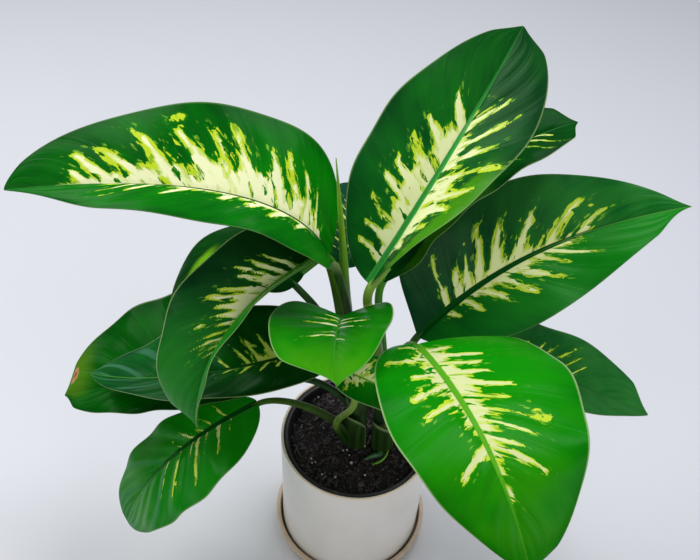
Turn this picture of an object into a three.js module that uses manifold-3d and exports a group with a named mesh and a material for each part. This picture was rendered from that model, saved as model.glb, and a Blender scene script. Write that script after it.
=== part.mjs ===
// A potted dieffenbachia: two canes with arching variegated leaves in a black nursery pot, which stands
// inside a plain white cylinder pot on a shallow beige saucer. Millimetres, +Z up, origin on the surface
// under the saucer's centre; the photograph looks along +Y.
import * as THREE from 'three';
import Module from 'manifold-3d';

const wasm = await Module();
wasm.setup();

// ---------------------------------------------------------------- driving dimensions
const GAP = 0.3; // running gap between pieces that touch

const SAUCER = { radius: 77, height: 14, floor: 4, rim: 4.5, round: 1.5 };
const POT = { radius: 70, height: 140, wall: 2.2, floor: 4, drain: 8, round: 0.8 };
const NURSERY = { rim: 67.3, lip: 3.6, lipDepth: 9, top: 62, foot: 50, wall: 1.2, drain: 5, drains: 6 };
const SOIL = { below: 9, bump: 1.6, step: 8 };
const BLADE = { thick: 0.8, rows: 16, columns: [0, 0.1, 0.55, 1], tipWidth: 0.9, rib: 2.4 };
const STALK = { sides: 7, steps: 9, pull: 0.16, root: [0.03, 0.08] };

const potFloor = SAUCER.floor + GAP;
const potTop = potFloor + POT.height;
const nurseryFloor = potFloor + POT.floor + GAP;
const nurseryTop = potTop - 1;
const soilTop = potTop - SOIL.below;
const soilFloor = nurseryFloor + NURSERY.wall + GAP;

// Canes: foot in the soil, a point they bend past, top; radius low and high; leaf-scar rings.
const CANES = [
  { name: 'cane_main', foot: [2, 0, 92], bend: [1, 0, 200], top: [-12, 2, 268], radius: [10.5, 7.5], rings: 5 },
  { name: 'cane_side', foot: [25, -4, 92], bend: [25, -3, 180], top: [16, 4, 246], radius: [9.5, 7], rings: 4 },
];

// Leaves. stalk: where the petiole leaves its cane, and a point it bends past. base, mid, tip: the midrib.
// Where a value is a pair of sides it goes left, right of the midrib, seen from above with the tip ahead;
// a pair of ends goes base, tip. half: widths of the two sides. heel, point: how full the outline is towards
// base and tip, smaller is fuller. roll: turn of the face about the midrib to the right, degrees, by end.
// fold: how steeply each side rises from the midrib, degrees, by end. droop: how far the margins curl back
// down, as a share of the half. wave: [height, how many along the margin, phase in turns].
const LEAVES = [
  { name: 'leaf_01_upper_left', stalk: [[-10, -4, 236], [-22, -7, 330]], base: [-30, -6, 374],
    mid: [-103, -3, 425], tip: [-267, 13, 403], half: [30, 69], heel: [0.26, 0.49], point: [0.39, 0.57],
    roll: [-8, -23], fold: [17, 20], droop: 0.13, wave: [2, 3, 0.1], radius: [5, 3] },
  { name: 'leaf_02_upper_right', stalk: [[16, 0, 216], [16, 3, 296]], base: [1, -8, 350],
    mid: [53, 52, 426], tip: [99, 106, 505], half: [64, 55], heel: [0.6, 0.84], point: [0.73, 0.62],
    roll: [-18, 8], fold: [36, 5], droop: 0.06, wave: [2, 3, 0.4], radius: [5, 3.4] },
  { name: 'leaf_03_behind_right', stalk: [[20, 4, 205], [20, 12, 280]], base: [11, 14, 331],
    mid: [70, 73, 391], tip: [161, 120, 419], half: [38, 28], heel: [0.5, 0.63], point: [0.48, 0.39],
    roll: [6, 7], fold: [16, 15], droop: 0.07, wave: [2.5, 4, 0.2], radius: [4.4, 3] },
  { name: 'leaf_04_right', stalk: [[26, -4, 190], [36, 2, 236]], base: [45, 7, 277],
    mid: [137, 57, 332], tip: [258, 80, 372], half: [65, 56], heel: [0.79, 0.67], point: [1.03, 0.99],
    roll: [34, 25], fold: [30, 9], droop: 0.07, wave: [2.5, 3, 0.6], radius: [4.6, 3] },
  { name: 'leaf_05_far_right', stalk: [[28, -4, 168], [48, 4, 240]], base: [66, 11, 256],
    mid: [146, 8, 244], tip: [254, -6, 206], half: [55, 47], heel: [0.56, 0.48], point: [0.49, 0.89],
    roll: [-7, 0], fold: [8, 10], droop: 0.08, wave: [2.5, 3, 0], radius: [4, 2.8] },
  { name: 'leaf_06_front', stalk: [[22, -6, 200], [30, -20, 280]], base: [37, -48, 330],
    mid: [74, -147, 359], tip: [104, -212, 317], half: [84, 53], heel: [0.18, 0.47], point: [0.63, 0.88],
    roll: [-9, 10], fold: [13, 0], droop: 0.14, wave: [2.5, 3, 0.3], radius: [5, 3.4] },
  { name: 'leaf_07_centre', stalk: [[-4, -6, 216], [-12, -12, 280]], base: [-19, -18, 323],
    mid: [-22, -71, 348], tip: [-18, -120, 369], half: [44, 49], heel: [0.21, 0.26], point: [0.73, 0.56],
    roll: [7, 5], fold: [26, 11], droop: 0.05, wave: [1.5, 2, 0.2], radius: [4, 2.6] },
  { name: 'leaf_08_under_front', stalk: [[-6, -6, 176], [-26, -20, 212]], base: [-8, -42, 283],
    mid: [38, -60, 276], tip: [88, -76, 252], half: [24, 22], heel: [0.4, 0.4], point: [0.7, 0.7],
    roll: [0, 0], fold: [12, 8], droop: 0.08, wave: [2, 2, 0.2], radius: [3.4, 2.4] },
  { name: 'leaf_09_left', stalk: [[-12, -4, 226], [-20, -6, 318]], base: [-39, 2, 366],
    mid: [-102, -52, 333], tip: [-127, -72, 243], half: [14, 50], heel: [0.5, 0.2], point: [0.69, 0.36],
    roll: [12, -2], fold: [45, 34], droop: 0.1, wave: [2, 3, 0.5], radius: [4.6, 3] },
  { name: 'leaf_10_behind_left', stalk: [[-8, 4, 214], [-26, 10, 290]], base: [-56, 13, 324],
    mid: [-111, 32, 329], tip: [-159, 13, 262], half: [40, 51], heel: [0.4, 0.47], point: [0.7, 0.57],
    roll: [10, 2], fold: [6, 7], droop: 0.09, wave: [2, 3, 0.8], radius: [4.4, 2.8] },
  { name: 'leaf_11_far_left', stalk: [[-4, 2, 180], [-36, 0, 236]], base: [-79, -13, 236],
    mid: [-172, -5, 213], tip: [-262, -8, 187], half: [31, 83], heel: [0.45, 0.42], point: [0.49, 0.61],
    roll: [-16, -13], fold: [19, 10], droop: 0.09, wave: [2.5, 4, 0.3], radius: [4, 2.6] },
  { name: 'leaf_12_left_low', stalk: [[-4, -2, 192], [-18, -14, 240]], base: [-33, -14, 281],
    mid: [-143, -28, 252], tip: [-234, -5, 217], half: [31, 52], heel: [0.15, 0.33], point: [0.74, 0.67],
    roll: [-13, -2], fold: [19, 7], droop: 0.08, wave: [2, 3, 0.1], radius: [4.2, 2.8] },
  { name: 'leaf_13_lowest_left', stalk: [[1, -4, 130], [-40, -6, 198]], base: [-90, -5, 189],
    mid: [-165, -44, 150], tip: [-208, -69, 81], half: [56, 36], heel: [0.5, 0.57], point: [0.64, 0.44],
    roll: [1, -4], fold: [8, 10], droop: 0.09, wave: [2.5, 4, 0.2], radius: [7, 2.4] },
  { name: 'leaf_14_back', stalk: [[-8, 6, 230], [-12, 16, 300]], base: [-18, 22, 336],
    mid: [-18, 66, 352], tip: [-14, 112, 352], half: [30, 30], heel: [0.5, 0.5], point: [0.7, 0.7],
    roll: [0, 0], fold: [16, 8], droop: 0.1, wave: [2, 2, 0.4], radius: [4, 2.6] },
];

const SPEAR = { name: 'furled_leaf', foot: [-13, 4, 262], bend: [-16, 6, 330], tip: [-28, 0, 458], radius: 4.6 };
const SPROUT = { name: 'soil_sprout', foot: [26, -14, 130], bend: [22, -18, 140], tip: [8, -26, 139], radius: 4 };

// ---------------------------------------------------------------- materials
function paint(color, roughness, metalness = 0) {
  return new THREE.MeshStandardMaterial({ color, roughness, metalness });
}
const LEAF_GREEN = paint(0x0f6a1c, 0.35);
const STEM_GREEN = paint(0x2c4a1c, 0.5);
const NEW_GREEN = paint(0xa8c83c, 0.4);
const WHITE_GLAZE = paint(0xe8e6e2, 0.35);
const BEIGE_GLAZE = paint(0xcdb08c, 0.5);
const BLACK_PLASTIC = paint(0x1a1a1c, 0.5);
const DARK_SOIL = paint(0x231c19, 0.95);

// ---------------------------------------------------------------- solids
const vec = (p) => new THREE.Vector3(...p);
const between = (ends, s) => ends[0] + (ends[1] - ends[0]) * s;

/** A manifold-3d solid from rings of points, each ring closed, with a flat end at both ends. */
function solidFromRings(rings) {
  const sides = rings[0].length;
  const points = rings.flat();
  const tris = [];
  for (let i = 0; i + 1 < rings.length; i++) {
    for (let j = 0; j < sides; j++) {
      const a = i * sides + j;
      const b = i * sides + ((j + 1) % sides);
      tris.push(a, b, b + sides, a, b + sides, a + sides);
    }
  }
  const last = (rings.length - 1) * sides;
  for (let j = 1; j + 1 < sides; j++) {
    tris.push(0, j + 1, j, last, last + j, last + j + 1);
  }
  return solidFrom(points, tris);
}

function solidFrom(points, tris) {
  const vertProperties = new Float32Array(points.flatMap((p) => [p.x, p.y, p.z]));
  const mesh = new wasm.Mesh({ numProp: 3, vertProperties, triVerts: new Uint32Array(tris) });
  mesh.merge();
  return new wasm.Manifold(mesh);
}

/** A solid of revolution about +Z from a closed [radius, height] profile. */
function turned(profile, segments = 48) {
  const contour = new wasm.CrossSection([profile], 'NonZero');
  return contour.revolve(segments);
}

/** A quadratic curve that passes through its middle point halfway. */
function arc(start, mid, end) {
  const a = vec(start);
  const b = vec(end);
  const c = vec(mid).multiplyScalar(2).addScaledVector(a, -0.5).addScaledVector(b, -0.5);
  return new THREE.QuadraticBezierCurve3(a, c, b);
}

/** A round tube swept along a list of points, its radius given by a function of the share of the way. */
function sweep(path, radiusAt, sides) {
  const rings = [];
  let side = null;
  for (let i = 0; i < path.length; i++) {
    const ahead = path[Math.min(i + 1, path.length - 1)];
    const behind = path[Math.max(i - 1, 0)];
    const along = ahead.clone().sub(behind).normalize();
    if (!side) side = new THREE.Vector3(0, 1, 0).cross(along).normalize();
    side.addScaledVector(along, -side.dot(along)).normalize();
    const up = along.clone().cross(side);
    const r = radiusAt(i / (path.length - 1));
    const ring = [];
    for (let j = 0; j < sides; j++) {
      const turn = (2 * Math.PI * j) / sides;
      ring.push(path[i].clone().addScaledVector(side, r * Math.cos(turn)).addScaledVector(up, r * Math.sin(turn)));
    }
    rings.push(ring);
  }
  return solidFromRings(rings);
}

// ---------------------------------------------------------------- leaves
/** The midrib's frame at share s: place, direction, face normal, direction to the left. */
function leafFrame(leaf, rib, s) {
  const along = rib.getTangent(s).normalize();
  const face = new THREE.Vector3(0, 0, 1);
  face.addScaledVector(along, -face.dot(along)).normalize();
  face.applyAxisAngle(along, THREE.MathUtils.degToRad(between(leaf.roll, s)));
  return { place: rib.getPoint(s), along, face, left: face.clone().cross(along) };
}

/** Width of one side (0 left, 1 right) at share s of the blade's length, as a share of its widest. */
function outline(leaf, side, s) {
  const heel = leaf.heel[side];
  const point = leaf.point[side];
  const widest = heel / (heel + point);
  return Math.pow(s / widest, heel) * Math.pow((1 - s) / (1 - widest), point);
}

/** A point of the blade's middle surface: s along the midrib, t from -1 (right margin) to 1 (left margin). */
function bladePoint(leaf, rib, s, t) {
  const f = leafFrame(leaf, rib, s);
  const side = t > 0 ? 0 : 1;
  const reach = Math.abs(t);
  const half = leaf.half[side] * outline(leaf, side, s) + BLADE.tipWidth;
  const fold = THREE.MathUtils.degToRad(between(leaf.fold, s));
  const [high, count, phase] = leaf.wave;
  const ripple = high * Math.sin(2 * Math.PI * (count * s + phase + 0.3 * side)) * Math.sin(Math.PI * s);
  const rise = half * (reach * Math.sin(fold) - leaf.droop * reach * reach) + ripple * reach * reach;
  const out = Math.sign(t) * half * reach * Math.cos(fold);
  return f.place.addScaledVector(f.left, out).addScaledVector(f.face, rise);
}

function bladeSolid(leaf, rib) {
  const { rows, columns, thick, rib: ribDepth } = BLADE;
  const shares = [...columns.slice(1).map((t) => -t).reverse(), ...columns];
  const cols = shares.length;
  const middle = columns.length - 1;
  const grid = [];
  for (let i = 0; i <= rows; i++) {
    const even = i / rows;
    const eased = 0.5 - 0.5 * Math.cos(Math.PI * even);
    const s = 0.003 + 0.994 * (0.5 * even + 0.5 * eased);
    grid.push(shares.map((t) => bladePoint(leaf, rib, s, t)));
  }
  // The two faces lie half a thickness off this surface; under the midrib the lower one goes deeper.
  const upper = [];
  const lower = [];
  for (let i = 0; i <= rows; i++) {
    for (let j = 0; j < cols; j++) {
      const du = grid[Math.min(i + 1, rows)][j].clone().sub(grid[Math.max(i - 1, 0)][j]);
      const dv = grid[i][Math.min(j + 1, cols - 1)].clone().sub(grid[i][Math.max(j - 1, 0)]);
      const normal = du.cross(dv).normalize();
      const deep = j === middle ? ribDepth * (1 - i / rows) : 0;
      upper.push(grid[i][j].clone().addScaledVector(normal, -thick / 2));
      lower.push(grid[i][j].clone().addScaledVector(normal, thick / 2 + deep));
    }
  }
  const n = upper.length;
  const tris = [];
  for (let i = 0; i < rows; i++) {
    for (let j = 0; j < cols - 1; j++) {
      const a = i * cols + j;
      const b = a + 1;
      const c = a + cols;
      const d = c + 1;
      const halves = j < middle ? [a, b, d, a, d, c] : [a, b, c, b, d, c];
      for (let k = 0; k < 6; k += 3) {
        tris.push(halves[k], halves[k + 1], halves[k + 2]);
        tris.push(n + halves[k], n + halves[k + 2], n + halves[k + 1]);
      }
    }
  }
  const rim = [];
  for (let j = 0; j < cols; j++) rim.push(j);
  for (let i = 1; i <= rows; i++) rim.push(i * cols + cols - 1);
  for (let j = cols - 2; j >= 0; j--) rim.push(rows * cols + j);
  for (let i = rows - 1; i > 0; i--) rim.push(i * cols);
  for (let k = 0; k < rim.length; k++) {
    const a = rim[k];
    const b = rim[(k + 1) % rim.length];
    tris.push(a, n + a, n + b, a, n + b, b);
  }
  return solidFrom([...upper, ...lower], tris);
}

/** The petiole from the cane to the blade, its end sunk under the midrib. */
function stalkSolid(leaf, rib, extra = 0) {
  const start = rib.getTangent(0).normalize();
  const base = vec(leaf.base);
  const [from, bend] = leaf.stalk.map(vec);
  const pull = from.distanceTo(base) * STALK.pull;
  const stalk = new THREE.CubicBezierCurve3(from, bend, base.clone().addScaledVector(start, -pull), base);
  const path = stalk.getPoints(STALK.steps);
  const radii = path.map((_, i) => between(leaf.radius, i / STALK.steps));
  for (const s of STALK.root) {
    const f = leafFrame(leaf, rib, s);
    const r = leaf.radius[1] * (1 - 0.7 * (s / STALK.root[1]));
    path.push(f.place.addScaledVector(f.face, -0.6 * r));
    radii.push(r);
  }
  const last = path.length - 1;
  return sweep(path, (u) => radii[Math.round(u * last)] + extra, STALK.sides);
}

function biggest(solid) {
  return solid.decompose().sort((a, b) => b.volume() - a.volume())[0];
}

// ---------------------------------------------------------------- canes, spear, sprout
function canePath(cane) {
  const curve = new THREE.QuadraticBezierCurve3(vec(cane.foot), vec(cane.bend), vec(cane.top ?? cane.tip));
  return curve.getPoints(12);
}

function caneSolid(cane, extra = 0) {
  const [low, high] = cane.radius;
  const ring = (u) => 0.5 * Math.pow(Math.max(0, Math.cos(2 * Math.PI * cane.rings * u)), 6);
  return sweep(canePath(cane), (u) => low + (high - low) * u + ring(u) + extra, 12);
}

function spearSolid(spear, extra = 0) {
  const swell = (u) => spear.radius * Math.pow(1 - u, 0.55) + 0.25;
  return sweep(canePath(spear), (u) => swell(u) + extra, 10);
}

// ---------------------------------------------------------------- holders
function saucerSolid() {
  const { radius: r, height: h, floor: t, rim, round: c } = SAUCER;
  const foot = r - 6;
  return turned([
    [0, 0], [foot, 0], [r - 1, 5], [r, h - c], [r - c, h], [r - rim + c, h], [r - rim, h - c],
    [r - rim, t + 2], [r - rim - 2, t], [0, t],
  ]);
}

function potSolid() {
  const { radius: r, height: h, wall: w, floor: t, drain, round: c } = POT;
  const z = potFloor;
  return turned([
    [drain, z], [r - 3, z], [r - 0.9, z + 0.9], [r, z + 3], [r, z + h - c], [r - c, z + h],
    [r - w + c, z + h], [r - w, z + h - c], [r - w, z + t + 2], [r - w - 2, z + t], [drain, z + t],
  ]);
}

function nurserySolid() {
  const { rim, lip, lipDepth, top, foot, wall: w, drain, drains } = NURSERY;
  const z = nurseryFloor;
  const h = nurseryTop;
  let pot = turned([
    [0, z], [foot, z], [top, h - lipDepth], [rim, h - lipDepth], [rim, h - 0.8], [rim - 0.8, h],
    [rim - lip, h], [rim - lip - 0.6, h - 1.4], [top - w, h - lipDepth - 1], [foot - w, z + w], [0, z + w],
  ]);
  for (let i = 0; i < drains; i++) {
    const turn = (2 * Math.PI * i) / drains;
    const hole = wasm.Manifold.cylinder(4 * w, drain, drain, 12, true);
    pot = pot.subtract(hole.translate([0.62 * foot * Math.cos(turn), 0.62 * foot * Math.sin(turn), z]));
  }
  return pot;
}

/** Height of the soil's lumpy top at a place. */
function soilHeight(x, y) {
  const lumps = Math.sin(x * 0.21 + 1.3) * Math.cos(y * 0.17) + 0.6 * Math.sin(x * 0.43 - y * 0.37);
  return soilTop + SOIL.bump * lumps * 0.7;
}

function soilSolid() {
  const { top, foot, lipDepth, wall: w } = NURSERY;
  const taper = (top - foot) / (nurseryTop - lipDepth - nurseryFloor);
  const innerAt = (z) => foot - w - GAP - 0.35 + taper * (z - nurseryFloor);
  const rings = [];
  const sides = 30;
  const ringAt = (radius, heightAt) => {
    const ring = [];
    for (let j = 0; j < sides; j++) {
      const turn = (2 * Math.PI * j) / sides;
      const x = radius * Math.cos(turn);
      const y = radius * Math.sin(turn);
      ring.push(new THREE.Vector3(x, y, heightAt(x, y)));
    }
    return ring;
  };
  const rimRadius = innerAt(nurseryTop - lipDepth - 2);
  rings.push(ringAt(0.5, () => soilFloor));
  rings.push(ringAt(innerAt(soilFloor), () => soilFloor));
  rings.push(ringAt(rimRadius, () => nurseryTop - lipDepth - 3));
  for (let r = rimRadius - 0.2; r > SOIL.step; r -= SOIL.step) rings.push(ringAt(r, soilHeight));
  rings.push(ringAt(0.5, () => soilHeight(0, 0)));
  return solidFromRings(rings);
}

// ---------------------------------------------------------------- assembly
/** A Mesh of a manifold-3d solid. */
function meshOf(name, solid, material) {
  const mesh = solid.getMesh();
  const geometry = new THREE.BufferGeometry();
  const stride = mesh.numProp;
  const points = [];
  for (let i = 0; i < mesh.vertProperties.length; i += stride) {
    points.push(mesh.vertProperties[i], mesh.vertProperties[i + 1], mesh.vertProperties[i + 2]);
  }
  geometry.setAttribute('position', new THREE.Float32BufferAttribute(points, 3));
  geometry.setIndex(Array.from(mesh.triVerts));
  geometry.computeVertexNormals();
  const out = new THREE.Mesh(geometry, material);
  out.name = name;
  return out;
}

const plant = new THREE.Group();
plant.add(meshOf('saucer', saucerSolid(), BEIGE_GLAZE));
plant.add(meshOf('pot', potSolid(), WHITE_GLAZE));
plant.add(meshOf('nursery_pot', nurserySolid(), BLACK_PLASTIC));

// Each grown piece is cut clear of the ones made before it, so stems that hug one another keep their gap.
let taken = null;
function claim(fat) {
  taken = taken ? taken.add(fat) : fat;
}
for (const cane of CANES) {
  plant.add(meshOf(cane.name, caneSolid(cane), STEM_GREEN));
  claim(caneSolid(cane, GAP));
}
plant.add(meshOf(SPEAR.name, biggest(spearSolid(SPEAR).subtract(taken)), NEW_GREEN));
claim(spearSolid(SPEAR, GAP));
for (const leaf of LEAVES) {
  const rib = arc(leaf.base, leaf.mid, leaf.tip);
  const stalk = biggest(stalkSolid(leaf, rib).subtract(taken));
  plant.add(meshOf(leaf.name, bladeSolid(leaf, rib).add(stalk), LEAF_GREEN));
  claim(stalkSolid(leaf, rib, GAP));
}
plant.add(meshOf(SPROUT.name, biggest(spearSolid(SPROUT).subtract(taken)), NEW_GREEN));
claim(spearSolid(SPROUT, GAP));
plant.add(meshOf('soil', biggest(soilSolid().subtract(taken)), DARK_SOIL));

export default plant;
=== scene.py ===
"""Looks for the potted dieffenbachia: glazed pot and saucer, bark soil, canes and variegated leaves.

Metres, +Z up, the origin on the surface under the saucer's centre, as in the part's own source.
"""

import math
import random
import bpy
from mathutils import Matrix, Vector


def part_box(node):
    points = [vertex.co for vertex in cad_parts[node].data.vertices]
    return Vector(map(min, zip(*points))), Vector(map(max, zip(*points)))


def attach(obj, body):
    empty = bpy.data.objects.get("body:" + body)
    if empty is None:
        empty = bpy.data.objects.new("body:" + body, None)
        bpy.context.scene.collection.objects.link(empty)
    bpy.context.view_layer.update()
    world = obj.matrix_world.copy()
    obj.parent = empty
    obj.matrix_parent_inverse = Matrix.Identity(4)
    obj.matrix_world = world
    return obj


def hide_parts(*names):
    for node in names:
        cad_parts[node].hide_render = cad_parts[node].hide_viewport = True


bl_info = {
    "name": "Potted Dieffenbachia",
    "version": (1, 0, 0),
    "blender": (4, 5, 0),
    "location": "View3D > Sidebar > Plant",
    "description": "Builds a variegated dieffenbachia in a nursery pot, cover pot and saucer",
    "category": "Add Mesh",
}

from functools import partialmethod

import bmesh
import bpy
import numpy as np
from bpy.props import FloatProperty, FloatVectorProperty, IntProperty, PointerProperty
from mathutils import Matrix, Vector, noise

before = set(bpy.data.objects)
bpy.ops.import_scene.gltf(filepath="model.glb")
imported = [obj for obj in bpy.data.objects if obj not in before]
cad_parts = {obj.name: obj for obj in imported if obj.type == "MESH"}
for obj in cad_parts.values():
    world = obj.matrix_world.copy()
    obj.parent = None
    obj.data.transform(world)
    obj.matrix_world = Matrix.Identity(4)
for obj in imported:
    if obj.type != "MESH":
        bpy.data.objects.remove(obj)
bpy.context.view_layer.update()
MM = 0.001


def row_maker(*keys):
    """Makes rows of a table from values in the order of the keys, and named extras."""
    return lambda *values, **extra: dict(zip(keys, values), **extra)


# ---------------------------------------------------------------- the plant's own sizes, in millimetres
# stalk: where it starts, bends and, for one leaf, arrives from. rib: base, middle and tip of the midrib. half: widths
# (left, right). heel, point: how full the outline is towards base and tip (left, right). roll, fold: of the face in
# degrees (base, tip). wave: height, count, phase. radius: of the stalk (start, end). drip: see DRIP. shoulder: see
# NO_SHOULDER.
shape_of = row_maker("stalk", "rib", "half", "heel", "point", "roll", "fold", "droop", "wave", "radius")
LEAF_SHAPES = {
    "leaf_01_upper_left": shape_of(
        ((-10, -4, 236), (-22, -7, 330)), ((-30, -6, 374), (-103, -3, 425), (-267, 13, 403)), (30, 69), (0.26, 0.49),
        (0.39, 0.57), (-8, -23), (17, 20), 0.13, (2, 3, 0.1), (5, 3), drip=((0.78, 0.85), (0.97, 0.6))),
    "leaf_02_upper_right": shape_of(
        ((16, 0, 216), (16, 3, 296)), ((1, -8, 350), (53, 52, 426), (99, 106, 505)), (64, 55), (0.6, 0.84),
        (0.73, 0.62), (-18, 8), (36, 5), 0.06, (2, 3, 0.4), (5, 3.4)),
    "leaf_03_behind_right": shape_of(
        ((20, 4, 205), (20, 12, 280)), ((11, 14, 331), (70, 73, 391), (161, 120, 419)), (38, 28), (0.5, 0.63),
        (0.48, 0.39), (6, 7), (16, 15), 0.07, (2.5, 4, 0.2), (4.4, 3), shoulder=((0, 0.1), (6, 0.13))),
    "leaf_04_right": shape_of(
        ((26, -4, 190), (36, 2, 236)), ((45, 7, 277), (137, 57, 332), (258, 80, 372)), (65, 56), (0.79, 0.67),
        (1.03, 0.99), (34, 25), (30, 9), 0.07, (2.5, 3, 0.6), (4.6, 3), drip=((0.92, 1.1), (0.88, 1.35)),
        shoulder=((26, 0.12), (0, 0.1))),
    "leaf_05_far_right": shape_of(
        ((28, -4, 168), (48, 4, 240)), ((66, 11, 256), (146, 8, 244), (254, -6, 206)), (55, 47), (0.56, 0.48),
        (0.49, 0.89), (-7, 0), (8, 10), 0.08, (2.5, 3, 0), (4, 2.8)),
    "leaf_06_front": shape_of(
        ((22, -6, 200), (30, -20, 280)), ((37, -48, 330), (74, -147, 359), (104, -212, 317)), (84, 53), (0.18, 0.47),
        (0.63, 0.88), (-9, 10), (13, 0), 0.14, (2.5, 3, 0.3), (5, 3.4)),
    "leaf_07_centre": shape_of(
        ((-4, -6, 216), (-12, -12, 280)), ((-19, -18, 323), (-22, -71, 348), (-18, -120, 369)), (44, 49),
        (0.21, 0.26), (0.73, 0.56), (7, 5), (26, 11), 0.05, (1.5, 2, 0.2), (4, 2.6),
        drip=((0.86, 1.05), (0.72, 1.45))),
    "leaf_08_under_front": shape_of(
        ((-8, -7, 138), (-42, -12, 202), (20, -44, 217)), ((-16, -39, 285), (34, -59, 278), (88, -76, 252)), (26, 23),
        (0.4, 0.22), (0.7, 0.7), (0, 0), (12, 8), 0.08, (2, 2, 0.2), (3.6, 2.6)),
    "leaf_09_left": shape_of(
        ((-12, -4, 226), (-20, -6, 318)), ((-39, 2, 366), (-102, -52, 333), (-127, -72, 243)), (14, 50), (0.5, 0.2),
        (0.69, 0.36), (12, -2), (45, 34), 0.1, (2, 3, 0.5), (4.6, 3)),
    "leaf_10_behind_left": shape_of(
        ((-8, 4, 214), (-26, 10, 290)), ((-56, 13, 324), (-111, 32, 329), (-159, 13, 262)), (40, 51), (0.4, 0.47),
        (0.7, 0.57), (10, 2), (6, 7), 0.09, (2, 3, 0.8), (4.4, 2.8)),
    "leaf_11_far_left": shape_of(
        ((-4, 2, 180), (-36, 0, 236)), ((-79, -13, 236), (-172, -5, 213), (-262, -8, 187)), (31, 83), (0.45, 0.42),
        (0.49, 0.61), (-16, -13), (19, 10), 0.09, (2.5, 4, 0.3), (4, 2.6)),
    "leaf_12_left_low": shape_of(
        ((-4, -2, 192), (-18, -14, 240)), ((-33, -14, 281), (-143, -28, 252), (-234, -5, 217)), (31, 52),
        (0.15, 0.33), (0.74, 0.67), (-13, -2), (19, 7), 0.08, (2, 3, 0.1), (4.2, 2.8)),
    "leaf_13_lowest_left": shape_of(
        ((-4, -4, 148), (-40, -6, 198)), ((-90, -5, 189), (-165, -44, 150), (-208, -69, 81)), (56, 36), (0.5, 0.57),
        (0.64, 0.44), (1, -4), (8, 10), 0.09, (2.5, 4, 0.2), (5.6, 2.4), drip=((0.99, 0.6), (0.99, 0.6))),
    "leaf_14_back": shape_of(
        ((-8, 6, 230), (-12, 16, 300)), ((-18, 22, 336), (-18, 66, 352), (-14, 112, 352)), (30, 30), (0.5, 0.5),
        (0.7, 0.7), (0, 0), (16, 8), 0.1, (2, 2, 0.4), (4, 2.6)),
}

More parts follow.
